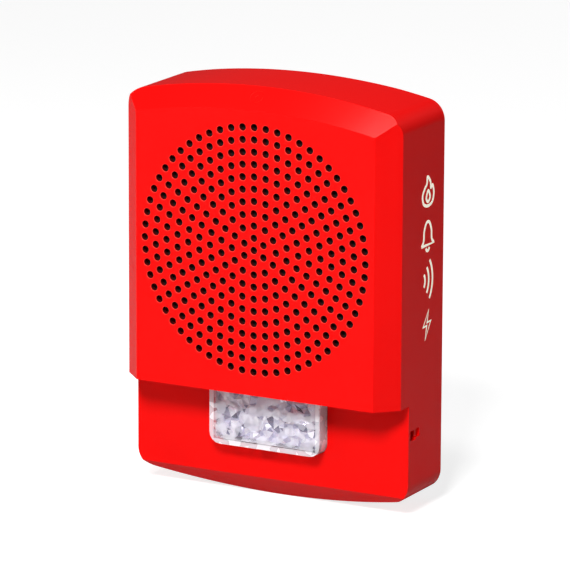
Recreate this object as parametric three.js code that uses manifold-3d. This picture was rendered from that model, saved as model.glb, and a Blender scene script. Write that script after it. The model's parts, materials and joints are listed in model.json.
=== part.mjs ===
// Wall-mounted horn strobe: a red moulded cover with a perforated sounder grille above a recessed
// strobe window, a moving-coil sounder, a light-emitting-diode strobe, their circuit boards and a rear
// chassis. The whole appliance hangs by a bar on two hooks of a wall plate and swings out on them; one
// captive screw and its square nut hold the bottom to a forked lip of that plate.
//
// Millimetres. +Z is up, the front faces -Y, and the plane y = 0 is the wall. The origin is the centre
// of the wall plate's back face.
import * as THREE from "three";
import { mergeVertices } from "three/addons/utils/BufferGeometryUtils.js";
import Module from "manifold-3d";

const wasm = await Module();
wasm.setup();

// ---------------------------------------------------------------- driving dimensions
const fit = 0.3; // clearance between two pieces that touch
const beyond = 1; // how far a cutting tool runs past the surface it opens
const sink = 0.5; // how far a joined feature runs into the body it grows from
const slitHalf = 0.4; // half the width of a small screw's driving slot
const throughPlate = [-9, beyond]; // depths spanned by a cut through the wall plate
const throughChassis = [-20, beyond]; // and by one through the chassis
const cover = {
  width: 120.6,
  height: 166.7,
  depth: 44, // wall to front face
  wall: 2.4,
  topRadius: 268, // crown of the outline
  bottomRadius: 262,
  cornerRadius: 8.2,
  bevel: 8, // 45 degree bevel round the sounder panel
  rearGap: 0.8, // rear rim to the wall
  setback: 15, // strobe panel behind the sounder panel
  chin: 8.2, // height of the bevel under the strobe panel, at its middle
};
const grille = { drop: 63.2, pitch: 4.85, rings: 10, holeDiameter: 2.9, sides: 6 };
const brow = { drop: 58 }; // underside of the sounder panel, below the grille's centre
const notch = { // pry notch near the foot of each side wall, and the scoop behind it
  drop: 70.6, // below the grille's centre
  behindPanel: 1.6,
  depth: 4.4,
  halfHeight: 1.8,
  scoopDepth: 7.5,
  scoopBelow: 1,
  scoopAbove: 2.4,
  scoopInto: 0.8,
};
const speaker = {
  setback: 10, // basket flange behind the front face
  flangeRadius: 51,
  openingRadius: 45.6,
  ringWidth: 1.4, // moulded ring that seats the gasket
  ringOverlap: 0.4, // of that ring over the flange's edge
  gasket: 1,
  earOffset: 40.3,
  earRadius: 5.5,
  sheet: 1.2,
  basketDepth: 12,
  magnetRadius: 30,
  rearGap: 1.9, // yoke to the chassis
  plateRadius: 28,
  plateThickness: 2.7,
  yokeThickness: 3,
  poleRadius: 12.1,
  coilGap: 2, // radial width of the magnetic gap
  coneRadius: 39.5,
  coneThickness: 0.7,
  stripDrop: 4.4, // terminal strip below the basket's opening
  tagX: 4,
};
const lens = {
  width: 49,
  height: 23.8,
  proud: 6,
  wall: 1.8,
  corner: 4.5,
  flange: 5,
  flangeThickness: 1.4,
  stakeRadius: 1.1,
};
const led = { spacing: 9, count: 4, side: 2.8, height: 1.3, wellDepth: 9, wellMouth: 4.3, wellFoot: 1.9 };
const plate = {
  thickness: 2,
  clearance: 1.2,
  slotRadius: 2.25,
  slotLength: 9,
  nail: { x: 44, z: -60, radius: 2.2 },
  vent: { near: 13, far: 28, low: 14, high: 58 },
};
const hook = {
  offset: 16,
  width: 12,
  wall: 1.5,
  barRadius: 1.2,
  openAngle: 22,
  lipRise: 0.8, // lip and leg above the bar's axis
  legRise: 0.6,
  legDrop: 6,
};
const lock = {
  offset: 9, // screw axis in front of the wall
  screwRadius: 2,
  headRadius: 3.6,
  headHeight: 2.4,
  length: 9,
  nutSide: 7,
  nutHeight: 3,
  nutTravel: 2.1,
  lipWidth: 18,
  lipReach: 5, // lip in front of the screw's axis
  forkDepth: 3, // fork behind the screw's axis
  legHeight: 6,
  sheet: 1.6,
  lipHeight: 5.05, // of the lip above the cover's foot
  headRecess: 0.4,
  threadGap: 0.15,
  crossHalf: 0.5, // cross recess of the head
  crossReach: 3,
  crossDepth: 1.2,
  cageWall: 1.6,
  cageRoof: 2,
  padHalf: 6,
};
const chassis = { thickness: 2, clearance: 0.5, rim: 7.5, rimWall: 1.6, behind: 3.5, windowMargin: 2 };
const chassisFastener = { headRadius: 3, headHeight: 1.2, shankRadius: 1.5, shankLength: 9.5, sinkRadius: 3.4 };
const smallFastener = { headRadius: 2.8, headHeight: 1.8, shankRadius: 1.4 };
const steps = { corner: 4, crown: 6, bevelCrown: 10, lensCorner: 4, roll: 4 }; // facets of the arcs
const curveSegments = 8;
const weldDistance = 1e-4; // vertices nearer than this are one
const boss = {
  radius: 3.5,
  speakerRadius: 4,
  side: 10.3,
  fromTop: 21.65,
  fromBottom: 15.65,
  bore: 1.8,
  boreDepth: 12,
  speakerBore: 1.7,
  skin: 0.6, // of each bore's end over the face
};
const board = {
  thickness: 1.6,
  strobeThickness: 1.4,
  height: 50,
  behind: 14,
  edge: 16.3,
  bottomEdge: 9.65,
  pinInset: 4,
};
const terminal = {
  count: 4,
  spacing: 11,
  width: 46,
  height: 14,
  depth: 8.7,
  fromBottom: 21.65,
  wellHalf: 4.3,
  wellDepth: 6,
  wellRise: 4, // well's foot above the block's
  padRise: 0.5,
  screwRise: 5.2, // screw above the well's foot
  screwBore: 1.7,
  strip: 0.8, // thickness of the contact strip and of the washer
  washerHalf: 3.3,
  headRadius: 2.7,
  headHeight: 1.8,
  shankRadius: 1.4,
};
const candela = { travel: 9, x: 35.5, slot: 4, belowBoardTop: 14, bodyHalf: 4, stemHalf: 1.2, gripHalf: 2 };
const volume = { radius: 5, x: -34.5, belowBoardTop: 14 };
const switchDepth = 5; // bodies of the two switches behind the board
const knobRecess = 0.6; // their knobs below the chassis's back
const transformer = { fromSide: 15.3, behind: 7, foot: 2.6, limb: 2.4, bobbin: 5.1, bobbinReach: 6.6 };
const wiring = { width: 50, height: 25, below: 12.5, margin: 1.5 };
const gangSpacing = 83.3; // single-gang box screws
const boxSpacing = 88.9; // four-inch box screws

// ---------------------------------------------------------------- places worked out from them
const halfWidth = cover.width / 2;
const top = cover.height / 2;
const frontY = -cover.depth;
const innerFrontY = frontY + cover.wall;
const grilleZ = top - grille.drop;
const browZ = grilleZ - brow.drop;
const panelY = frontY + cover.setback; // strobe panel
const panelBackY = panelY + cover.wall;
const faceHalf = halfWidth - cover.bevel;
const chinZ = -top + cover.chin;
const flangeY = frontY + speaker.setback;
const pivotY = -plate.thickness - fit - hook.barRadius;
const barHalf = hook.offset + hook.width;
const crownDrop = cover.topRadius - Math.sqrt(cover.topRadius ** 2 - barHalf ** 2); // at the bar's ends
const pivotZ = top - crownDrop - cover.wall - fit - hook.barRadius;
const chassisBackY = -chassis.behind;
const chassisY = chassisBackY - chassis.thickness;
const boardY = -board.behind;
const boardFrontY = boardY - board.thickness;
const boardHalf = halfWidth - board.edge;
const boardBottom = -top + board.bottomEdge;
const boardTop = boardBottom + board.height;
const boardPins = [-1, 1].flatMap((side) => [boardBottom + board.pinInset, boardTop - board.pinInset]
  .map((z) => [side * (boardHalf - board.pinInset), z]));
const bossX = halfWidth - boss.side;
const bossTopZ = top - boss.fromTop;
const bossBottomZ = -top + boss.fromBottom;
const blockBottom = -top + terminal.fromBottom;
const blockTop = blockBottom + terminal.height;
const blockFrontY = -plate.thickness - fit - terminal.depth;

// ---------------------------------------------------------------- modelling helpers
// A closed three.js geometry as a solid that can be joined and cut.
function solid(geometry) {
  const bare = geometry.index ? geometry.toNonIndexed() : geometry.clone();
  for (const name of Object.keys(bare.attributes)) {
    if (name !== "position") bare.deleteAttribute(name);
  }
  const merged = mergeVertices(bare, weldDistance);
  const mesh = new wasm.Mesh({
    numProp: 3,
    vertProperties: merged.attributes.position.array,
    triVerts: new Uint32Array(merged.index.array),
  });
  return new wasm.Manifold(mesh);
}

// A solid back as a geometry.
function geometryOf(made) {
  const mesh = made.getMesh();
  const position = new THREE.BufferAttribute(new Float32Array(mesh.vertProperties), 3);
  const geometry = new THREE.BufferGeometry().setAttribute("position", position);
  geometry.setIndex(new THREE.BufferAttribute(new Uint32Array(mesh.triVerts), 1));
  const flat = geometry.toNonIndexed();
  flat.computeVertexNormals();
  return flat;
}

const join = (...parts) => parts.reduce((a, b) => a.add(b));
const cut = (base, ...tools) => tools.reduce((a, b) => a.subtract(b), base);

// A box from its lowest and highest corner.
function block(x0, x1, y0, y1, z0, z1) {
  const box = new THREE.BoxGeometry(x1 - x0, y1 - y0, z1 - z0);
  return solid(box.translate((x0 + x1) / 2, (y0 + y1) / 2, (z0 + z1) / 2));
}

// A box that is the same on both sides of x = 0.
const centred = (half, y0, y1, z0, z1) => block(-half, half, y0, y1, z0, z1);

// A cylinder along Y between two depths.
function rod(x, z, radius, y0, y1, sides = 16) {
  const shape = new THREE.CylinderGeometry(radius, radius, y1 - y0, sides);
  return solid(shape.translate(x, (y0 + y1) / 2, z));
}

// A cylinder along Z between two heights.
function post(x, y, radius, z0, z1, sides = 16) {
  const shape = new THREE.CylinderGeometry(radius, radius, z1 - z0, sides).rotateX(Math.PI / 2);
  return solid(shape.translate(x, y, (z0 + z1) / 2));
}

// A ring turned about the line x = 0, z = grilleZ, from its closed half section of [radius, y] points.
function turned(section, sides = 24) {
  const points = section.map(([radius, y]) => new THREE.Vector2(radius, y));
  points.push(points[0].clone());
  if (THREE.ShapeUtils.area(points.slice(0, -1)) < 0) points.reverse();
  return solid(new THREE.LatheGeometry(points, sides).translate(0, 0, grilleZ));
}

// A plain ring: inner and outer radius, front and back.
const ring = (inner, outer, y0, y1, sides) =>
  turned([[inner, y0], [outer, y0], [outer, y1], [inner, y1]], sides);

// A shape drawn in X and Z, extruded from the depth yBack forward to yFront.
function prism(shape, yFront, yBack) {
  const settings = { depth: yBack - yFront, bevelEnabled: false, curveSegments };
  const geometry = new THREE.ExtrudeGeometry(shape, settings);
  return solid(geometry.rotateX(Math.PI / 2).translate(0, yBack, 0));
}

// The same with a 45 degree bevel that widens the shape behind its front face.
function bevelled(shape, yFront, bevel) {
  const behind = cover.depth + bevel;
  const settings = { depth: behind, bevelSize: bevel, bevelThickness: bevel, bevelSegments: 1 };
  const geometry = new THREE.ExtrudeGeometry(shape, { ...settings, curveSegments });
  return solid(geometry.rotateX(Math.PI / 2).translate(0, yFront + behind + bevel, 0));
}

function polygon(points) {
  return new THREE.Shape(points.map(([x, z]) => new THREE.Vector2(x, z)));
}

function arc(x, z, radius, from, to, count) {
  const points = [];
  for (let i = 0; i <= count; i++) {
    const angle = from + ((to - from) * i) / count;
    points.push([x + radius * Math.cos(angle), z + radius * Math.sin(angle)]);
  }
  return points;
}

// The cover's outline seen from the front, moved in by inset: crowned top and bottom, round corners.
function outline(inset) {
  const half = halfWidth - inset;
  const corner = Math.max(cover.cornerRadius - inset, 1);
  const rightHalf = [];
  for (const [radius, side] of [[cover.bottomRadius, -1], [cover.topRadius, 1]]) {
    const crown = radius - inset;
    const centreZ = side * (top - radius);
    const cornerX = half - corner;
    const reach = Math.sqrt((crown - corner) ** 2 - cornerX ** 2);
    const cornerZ = centreZ + side * reach;
    const lean = Math.atan2(reach, cornerX);
    const rounded = arc(cornerX, cornerZ, corner, 0, side * lean, steps.corner);
    const crowned = arc(0, centreZ, crown, side * lean, (side * Math.PI) / 2, steps.crown);
    const quarter = [...rounded, ...crowned.slice(1)];
    if (side < 0) rightHalf.push(...quarter.reverse());
    else rightHalf.push(...quarter);
  }
  const leftHalf = rightHalf.slice(1, -1).reverse().map(([x, z]) => [-x, z]);
  return polygon([...rightHalf, ...leftHalf]);
}

// The flat front of the sounder panel, moved in by inset; its sides run on below the brow.
function panelFace(inset) {
  const radius = cover.topRadius - cover.bevel - inset;
  const half = faceHalf - inset;
  const lean = Math.acos(half / radius);
  const crown = arc(0, top - cover.topRadius, radius, lean, Math.PI - lean, steps.bevelCrown);
  return polygon([[half, -2 * top], ...crown, [-half, -2 * top]]);
}

// ---------------------------------------------------------------- the cover
// Everything inside the cover's skin, with the skin moved in by inset.
function coverBody(inset) {
  const backY = inset ? beyond : -cover.rearGap;
  const bevelShift = inset * (Math.SQRT2 - 1);
  const bevel = cover.bevel - inset + bevelShift;
  const whole = outline(inset);
  const upper = prism(whole, frontY + inset, backY)
    .intersect(bevelled(panelFace(bevelShift), frontY + inset, bevel))
    .intersect(centred(cover.width, frontY - beyond, 2 * beyond, browZ + inset, top + beyond));
  const chinBevel = 2 * cover.chin;
  const wide = cover.width;
  const low = chinZ + bevelShift;
  const panel = polygon([[-wide, low], [wide, low], [wide, cover.height], [-wide, cover.height]]);
  const lower = prism(whole, panelY + inset, backY).intersect(
    bevelled(panel, panelY + inset, chinBevel),
  );
  return upper.add(lower);
}

// The grille: a centre hole and rings of 6, 12, 18 ... evenly spaced holes, drawn as one set of shapes.
function grilleHoles() {
  const centres = [[0, 0]];
  for (let ringNumber = 1; ringNumber <= grille.rings; ringNumber++) {
    const count = 6 * ringNumber;
    for (let i = 0; i < count; i++) {
      const angle = Math.PI / 2 + (2 * Math.PI * i) / count;
      const radius = ringNumber * grille.pitch;
      centres.push([radius * Math.cos(angle), radius * Math.sin(angle)]);
    }
  }
  const shapes = centres.map(([x, z]) => {
    const hole = arc(x, grilleZ + z, grille.holeDiameter / 2, 0, 2 * Math.PI, grille.sides);
    return polygon(hole.slice(0, -1));
  });
  return prism(shapes, frontY - beyond, innerFrontY + beyond);
}

const earPlaces = [-1, 1].flatMap((sx) => [-1, 1].map((sz) => [sx * speaker.earOffset,
  grilleZ + sz * speaker.earOffset]));
const bossPlaces = [-1, 1].flatMap((sx) => [[sx * bossX, bossTopZ], [sx * bossX, bossBottomZ]]);
const seatY = flangeY - fit; // where the ring and the speaker bosses end

// The strobe lens outline, grown by extra: square under the brow, round at its bottom corners.
function lensOutline(extra, topZ = browZ - fit) {
  const half = lens.width / 2 + extra;
  const bottom = browZ - fit - lens.height - extra;
  const corner = lens.corner + extra;
  const right = arc(half - corner, bottom + corner, corner, -Math.PI / 2, 0, steps.lensCorner);
  const left = arc(-half + corner, bottom + corner, corner, -Math.PI, -Math.PI / 2, steps.lensCorner);
  return polygon([...right, [half, topZ], [-half, topZ], ...left]);
}

// A small pry notch through a side wall, with a scoop that runs back and up from it.
function pryNotch(side) {
  const outer = side * (halfWidth + beyond);
  const inner = side * (halfWidth - cover.wall - beyond);
  const skin = side * (halfWidth - notch.scoopInto);
  const z = grilleZ - notch.drop;
  const y = panelY + notch.behindPanel;
  const span = (a, b) => [Math.min(a, b), Math.max(a, b)];
  const slot = block(...span(inner, outer), y, y + notch.depth, z - notch.halfHeight, z + notch.halfHeight);
  const scoop = block(...span(skin, outer), y, y + notch.scoopDepth, z - notch.scoopBelow,
    z + notch.scoopAbove);
  return slot.add(scoop);
}

function frontCover() {
  const outer = coverBody(0);
  const inner = coverBody(cover.wall);
  const ringRadius = speaker.flangeRadius + speaker.ringWidth - speaker.ringOverlap;
  const seatRing = ring(ringRadius - speaker.ringWidth, ringRadius, frontY,
    seatY - speaker.gasket - fit, 36);
  const speakerBosses = earPlaces.map(([x, z]) => rod(x, z, boss.speakerRadius, frontY, seatY, 12));
  const chassisBosses = bossPlaces.map(([x, z]) => rod(x, z, boss.radius, frontY, chassisY - fit, 12));
  const lipBottom = lockLipBottom();
  const pad = centred(lock.lipWidth / 3, -lock.offset - lock.padHalf, -lock.offset + lock.padHalf, -top,
    lipBottom - 1);
  const pins = stakes(lens.stakeRadius, panelY + cover.wall / 2);
  const inside = join(seatRing, ...speakerBosses, ...chassisBosses, ...pins, pad).intersect(outer);
  const bores = [
    ...earPlaces.map(([x, z]) => rod(x, z, boss.speakerBore, innerFrontY + boss.skin, 0, 8)),
    ...bossPlaces.map(([x, z]) => rod(x, z, boss.bore, chassisY - boss.boreDepth, 0, 8)),
  ];
  const window = prism(lensOutline(fit, browZ), panelY - beyond, panelBackY + beyond / 2);
  const headPocket = post(0, -lock.offset, lock.headRadius + 2 * fit, -top - beyond, screwSeatZ(), 20);
  const shankHole = post(0, -lock.offset, lock.screwRadius + fit, -top - beyond, lipBottom, 12);
  const shell = outer.subtract(inner).add(inside);
  return cut(shell, ...bores, grilleHoles(), window, headPocket, shankHole, pryNotch(1), pryNotch(-1),
    crownRelief());
}

// The wedge that the rear of the crown loses, so that it clears the wall when the appliance swings out.
function crownRelief() {
  const depth = cover.depth - 4;
  const tool = new THREE.BoxGeometry(2 * cover.width, depth, depth).translate(0, depth / 2, 0);
  const toWall = -pivotY - fit / 3;
  const spareAngle = 2;
  tool.translate(0, toWall, 0).rotateX(THREE.MathUtils.degToRad(hook.openAngle + spareAngle));
  return solid(tool.translate(0, pivotY, pivotZ));
}

// ---------------------------------------------------------------- heights of the lock at the bottom
function lockLipBottom() {
  return -top + lock.lipHeight;
}
function screwSeatZ() {
  return -top + lock.headHeight + lock.headRecess;
}
const lipTopZ = lockLipBottom() + lock.sheet;
const nutBottomZ = lipTopZ + fit;
const nutTopZ = nutBottomZ + lock.nutHeight;
const cageRoofZ = nutTopZ + lock.nutTravel + fit;
const cageTopZ = cageRoofZ + lock.cageRoof;

function lockScrew() {
  const seat = screwSeatZ() - fit;
  const head = post(0, -lock.offset, lock.headRadius, seat - lock.headHeight, seat, 20);
  const shank = post(0, -lock.offset, lock.screwRadius, seat - sink, seat + lock.length, 16);
  const low = seat - lock.headHeight - beyond;
  const high = seat - lock.crossDepth;
  const [half, reach, y] = [lock.crossHalf, lock.crossReach, -lock.offset];
  const slot = centred(half, y - reach, y + reach, low, high);
  const cross = centred(reach, y - half, y + half, low, high);
  return cut(join(head, shank), slot, cross);
}

function lockNut() {
  const half = lock.nutSide / 2;
  const body = centred(half, -lock.offset - half, -lock.offset + half, nutBottomZ, nutTopZ);
  return body.subtract(post(0, -lock.offset, lock.screwRadius + lock.threadGap, -top, 0, 16));
}

// ---------------------------------------------------------------- wall plate and its terminal block
function slotHole(x, z, length) {
  const radius = plate.slotRadius;
  const end = length / 2 - radius;
  const middle = block(x - end, x + end, ...throughPlate, z - radius, z + radius);
  const ends = [x - end, x + end].map((centre) => rod(centre, z, radius, ...throughPlate, 12));
  return join(middle, ...ends);
}

// A hook with a trough for the hanger bar.
function plateHook(x) {
  const x0 = x - hook.width / 2;
  const x1 = x + hook.width / 2;
  const floorTop = pivotZ - hook.barRadius - fit;
  const lipBack = pivotY - hook.barRadius - fit;
  const floor = block(x0, x1, lipBack - hook.wall, 0, floorTop - hook.wall, floorTop);
  const lip = block(x0, x1, lipBack - hook.wall, lipBack, floorTop - hook.wall,
    pivotZ + hook.lipRise);
  const leg = block(x0, x1, -plate.thickness, 0, floorTop - hook.legDrop, pivotZ + hook.legRise);
  return join(floor, lip, leg);
}

function mountingPlate() {
  const sheet = prism(outline(cover.wall + plate.clearance), -plate.thickness, 0);
  const shoulder = pivotZ - hook.barRadius - fit - hook.wall;
  const body = sheet.intersect(centred(cover.width, ...throughPlate, -cover.height, shoulder));
  const wires = centred(wiring.width / 2, ...throughPlate, -wiring.below - wiring.height,
    -wiring.below);
  const vents = [-1, 1].map((side) => {
    const { near, far, low, high } = plate.vent;
    const edges = [side * near, side * far];
    return block(Math.min(...edges), Math.max(...edges), ...throughPlate, low, high);
  });
  const slots = [
    slotHole(0, gangSpacing / 2, plate.slotLength),
    slotHole(0, -gangSpacing / 2, plate.slotLength),
    slotHole(boxSpacing / 2, 0, plate.slotLength),
    slotHole(-boxSpacing / 2, 0, plate.slotLength),
  ];
  const hooks = [plateHook(-hook.offset), plateHook(hook.offset)];
  const { x: nailX, z: nailZ, radius: nailRadius } = plate.nail;
  const nailHoles = [-1, 1].map((side) => rod(side * nailX, nailZ, nailRadius, ...throughPlate, 10));
  return cut(join(body, ...hooks), wires, ...vents, ...slots, ...nailHoles);
}

// A bent strip welded to the plate's foot: its lip is forked, so that the lock screw slides in from
// the front.
function lockBracket() {
  const half = lock.lipWidth / 2;
  const back = -plate.thickness - fit;
  const lipFront = -lock.offset - lock.lipReach;
  const lip = centred(half, lipFront, back, lockLipBottom(), lipTopZ);
  const leg = centred(half, back - lock.sheet, back, lockLipBottom(), lockLipBottom() + lock.legHeight);
  const fork = centred(lock.screwRadius + 2 * fit, lipFront - beyond, -lock.offset + lock.forkDepth, -top, top);
  return join(lip, leg).subtract(fork);
}

const terminalX = Array.from({ length: terminal.count }, (_, i) =>
  (i - (terminal.count - 1) / 2) * terminal.spacing);
const { wellHalf, strip } = terminal;
const wellFloorY = blockFrontY + terminal.wellDepth;
const padBottom = blockBottom + terminal.padRise;
const wellBottom = blockBottom + terminal.wellRise;
const terminalZ = wellBottom + terminal.screwRise;

function terminalBlock() {
  const body = centred(terminal.width / 2, blockFrontY, -plate.thickness - fit, blockBottom, blockTop);
  const wells = terminalX.map((x) => block(x - wellHalf, x + wellHalf, blockFrontY - beyond, wellFloorY,
    wellBottom, blockTop + beyond));
  const bores = terminalX.map((x) => rod(x, terminalZ, terminal.screwBore, wellFloorY - beyond,
    -plate.thickness, 8));
  return cut(body, ...wells, ...bores);
}

// A bent strip: under the screw, up the well's lower wall, and out as the pad that the spring meets.
function terminalContact(x) {
  const half = wellHalf - 2 * fit;
  const underY = wellFloorY - fit;
  const padY = blockFrontY - fit;
  const foot = wellBottom + fit;
  const under = block(x - half, x + half, underY - strip, underY, foot, blockTop - strip);
  const riser = block(x - half, x + half, padY - strip, underY, foot, foot + strip);
  const pad = block(x - half, x + half, padY - strip, padY, padBottom, foot + strip);
  const hole = rod(x, terminalZ, terminal.shankRadius + sink, blockFrontY, 0, 12);
  return join(under, riser, pad).subtract(hole);
}

function terminalScrew(x) {
  const z = terminalZ;
  const { washerHalf, headRadius, headHeight, shankRadius } = terminal;
  const seat = wellFloorY - 2 * fit - strip;
  const crown = seat - strip - headHeight;
  const washer = block(x - washerHalf, x + washerHalf, seat - strip, seat, z - washerHalf, z + washerHalf);
  const head = rod(x, z, headRadius, crown, seat - strip + 0.1, 14);
  const shank = rod(x, z, shankRadius, seat - 0.1, -plate.thickness - beyond, 10);
  const slot = block(x - slitHalf, x + slitHalf, crown - slitHalf, crown + 2 * slitHalf, z - headRadius - fit,
    z + headRadius + fit);
  return join(washer, head, shank).subtract(slot);
}

// ---------------------------------------------------------------- rear chassis
function chassisWindows() {
  const wires = centred(wiring.width / 2 + wiring.margin, ...throughChassis,
    blockBottom - chassis.windowMargin, -wiring.below + wiring.margin + beyond);
  const hooks = [-1, 1].map((side) => {
    const x = side * hook.offset;
    const half = hook.width / 2 + chassis.windowMargin;
    return block(x - half, x + half, ...throughChassis, pivotZ - hook.legDrop, top);
  });
  const lip = centred(lock.lipWidth / 2 + chassis.windowMargin, ...throughChassis, -top - beyond,
    cageRoofZ);
  return [wires, ...hooks, lip];
}

function rearChassis() {
  const whole = outline(cover.wall + chassis.clearance);
  const inner = outline(cover.wall + chassis.clearance + chassis.rimWall);
  const rim = prism(whole, chassisBackY - chassis.rim, chassisBackY).subtract(
    prism(inner, chassisBackY - chassis.rim - beyond, chassisY),
  );
  const posts = boardPins.map(([x, z]) => join(
    rod(x, z, 2.5, boardY + fit, chassisY + sink, 12),
    rod(x, z, 1.1, boardFrontY - 0.8, boardY + beyond, 8),
  ));
  const cageHalf = lock.nutSide / 2 + fit;
  const cageFront = boardY + sink;
  const cage = centred(cageHalf + lock.cageWall, cageFront, chassisBackY, nutBottomZ + fit, cageTopZ);
  const pocket = centred(cageHalf, cageFront - beyond, beyond, -top, cageRoofZ);
  const legRoom = centred(cover.width, chassisY, beyond, -top, cageRoofZ);
  const bar = rodX(pivotY, pivotZ, hook.barRadius, barHalf);
  const { headHeight, sinkRadius } = chassisFastener;
  const screws = bossPlaces.flatMap(([x, z]) => [rod(x, z, boss.bore, ...throughChassis, 8),
    rod(x, z, sinkRadius, chassisBackY - headHeight, beyond, 14)]);
  const slotX = candela.travel / 2 + 3;
  const slotZ = candela.slot / 2 + 0.8;
  const switchHole = block(candela.x - slotX, candela.x + slotX, ...throughChassis, candelaZ - slotZ,
    candelaZ + slotZ);
  const dialHole = rod(volume.x, volumeZ, volume.radius + 0.8, ...throughChassis, 20);
  const body = join(cut(rim, ...chassisWindows()), ...posts, ...transformerFeet());
  return join(cut(body, switchHole, dialHole, ...screws), cut(cage, pocket, legRoom), bar);
}

// A cylinder along X, centred on x = 0.
function rodX(y, z, radius, half, sides = 16) {
  const shape = new THREE.CylinderGeometry(radius, radius, 2 * half, sides).rotateZ(Math.PI / 2);
  return solid(shape.translate(0, y, z));
}

function chassisScrew([x, z]) {
  const { headRadius, headHeight, shankRadius, shankLength } = chassisFastener;
  const seat = chassisBackY - headHeight + fit;
  const head = rod(x, z, headRadius, seat, seat + headHeight, 14);
  const shank = rod(x, z, shankRadius, seat - shankLength, seat + headHeight / 6, 10);
  const slot = block(x - 2.2, x + 2.2, seat + headHeight / 2, seat + headHeight + beyond, z - slitHalf,
    z + slitHalf);
  return join(head, shank).subtract(slot);
}

// ---------------------------------------------------------------- sounder
const basketBackY = flangeY + speaker.basketDepth;
const topPlateY = basketBackY + fit;
const magnetY = topPlateY + speaker.plateThickness + fit;
const yokeY = chassisY - speaker.rearGap - speaker.yokeThickness;
const magnetThickness = yokeY - fit - magnetY; // takes the depth that is left
const gapOuter = speaker.poleRadius + speaker.coilGap;
const formerInner = speaker.poleRadius + 0.4;
const formerOuter = formerInner + 0.35;
const neckY = basketBackY - 3; // where the cone meets the former

function speakerBasket() {
  const back = flangeY + speaker.sheet;
  const flange = ring(speaker.openingRadius, speaker.flangeRadius, flangeY, back, 28);
  const ears = earPlaces.map(([x, z]) => {
    const inward = 0.93; // a second disc nearer the centre bridges each ear to the flange
    const bridge = rod(x * inward, grilleZ + (z - grilleZ) * inward, speaker.earRadius, flangeY, back, 12);
    return rod(x, z, speaker.earRadius, flangeY, back, 12).add(bridge);
  });
  const holes = earPlaces.map(([x, z]) => rod(x, z, boss.speakerBore, flangeY - beyond, back + beyond, 8));
  const seat = speaker.plateRadius;
  const cone = turned([
    [speaker.openingRadius, flangeY],
    [speaker.openingRadius + 1.2, flangeY + 0.5],
    [seat, basketBackY],
    [seat - 8, basketBackY],
    [seat - 8, basketBackY - 1],
    [seat - 0.6, basketBackY - 1],
  ], 28);
  const middle = (speaker.openingRadius + seat) / 2;
  const windows = [0, 1, 2, 3].map((i) => {
    const box = new THREE.BoxGeometry(middle * 1.05, 7, 13).translate(0, 0, middle + 1);
    const turn = box.rotateY((i * Math.PI) / 2);
    return solid(turn.translate(0, (flangeY + basketBackY) / 2 + 0.3, grilleZ));
  });
  const body = join(cut(cone, ...windows), flange, ...ears);
  return cut(body, ...holes, ring(gapOuter, seat - 8.05, flangeY, basketBackY + 1));
}

const topPlate = () => ring(gapOuter, speaker.plateRadius, topPlateY,
  topPlateY + speaker.plateThickness);
const magnet = () => ring(gapOuter + 1, speaker.magnetRadius, magnetY, magnetY + magnetThickness);

function yoke() {
  const back = yokeY + speaker.yokeThickness;
  return turned([
    [0, topPlateY], [speaker.poleRadius, topPlateY], [speaker.poleRadius, yokeY],
    [speaker.plateRadius, yokeY], [speaker.plateRadius, back], [0, back],
  ]);
}

function cone() {
  const edgeY = flangeY + 0.4;
  const neck = formerOuter + fit;
  const middle = [(speaker.coneRadius + neck) / 2 + 1, (edgeY + neckY) / 2 + 0.8];
  const thick = speaker.coneThickness;
  return turned([
    [neck, neckY], [middle[0], middle[1]], [speaker.coneRadius, edgeY],
    [speaker.coneRadius, edgeY - thick], [middle[0], middle[1] - thick], [neck, neckY - thick],
  ], 28);
}

function dustCap() {
  const radius = formerOuter + 1.5;
  const rimY = neckY - speaker.coneThickness - fit - 0.9;
  const dome = (r, lift) => [r, rimY - lift * (1 - (r / radius) ** 2)];
  return turned([
    [0, rimY - 4.6], dome(radius * 0.5, 4.6), [radius, rimY], [radius - 0.6, rimY + 0.5],
    dome(radius * 0.48, 3.8), [0, rimY - 3.8],
  ], 16);
}

const coilFormer = () => ring(formerInner, formerOuter, neckY - 1, magnetY + 1.5);
const coilWinding = () => ring(formerOuter + 0.1, gapOuter - 0.5, topPlateY - 0.8,
  topPlateY + speaker.plateThickness + 0.8);

// The corrugated disc that centres the coil: a zigzag section with the same sheet thickness.
function spider() {
  const inner = formerOuter + 0.4;
  const outer = speaker.plateRadius - 1.2;
  const waves = 6;
  const sheet = 0.5;
  const y = basketBackY - 1 - fit - sheet;
  const front = [];
  for (let i = 0; i <= waves; i++) {
    front.push([inner + ((outer - inner) * i) / waves, y - (i % 2)]);
  }
  const back = front.map(([radius, depth]) => [radius, depth + sheet]).reverse();
  return turned([...front, ...back], 20);
}

// The half-roll edge between the cone and the basket flange.
function surround() {
  const inner = speaker.coneRadius + fit;
  const outer = speaker.openingRadius + 2.4;
  const rollOuter = speaker.openingRadius - 0.4;
  const middle = (inner + rollOuter) / 2;
  const roll = (rollOuter - inner) / 2;
  const y = flangeY - fit;
  const crest = arc(middle, 0, roll, Math.PI, 0, steps.roll).map(([r, h]) => [r, y - 0.5 - h]);
  const under = arc(middle, 0, roll - 0.6, 0, Math.PI, steps.roll).map(([r, h]) => [r, y - h]);
  return turned([...crest, [outer, y - 0.5], [outer, y], ...under, [inner, y]], 28);
}

function speakerScrew([x, z]) {
  const { headRadius, headHeight, shankRadius } = smallFastener;
  const seat = flangeY + speaker.sheet + fit;
  const head = rod(x, z, headRadius, seat, seat + headHeight, 12);
  const shank = rod(x, z, shankRadius, innerFrontY + 2 * boss.skin, seat + 0.2, 8);
  const slot = block(x - 2, x + 2, seat + 1, seat + headHeight + 1.2, z - slitHalf, z + slitHalf);
  return join(head, shank).subtract(slot);
}

const stripZ = grilleZ - speaker.openingRadius - speaker.stripDrop;

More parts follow.
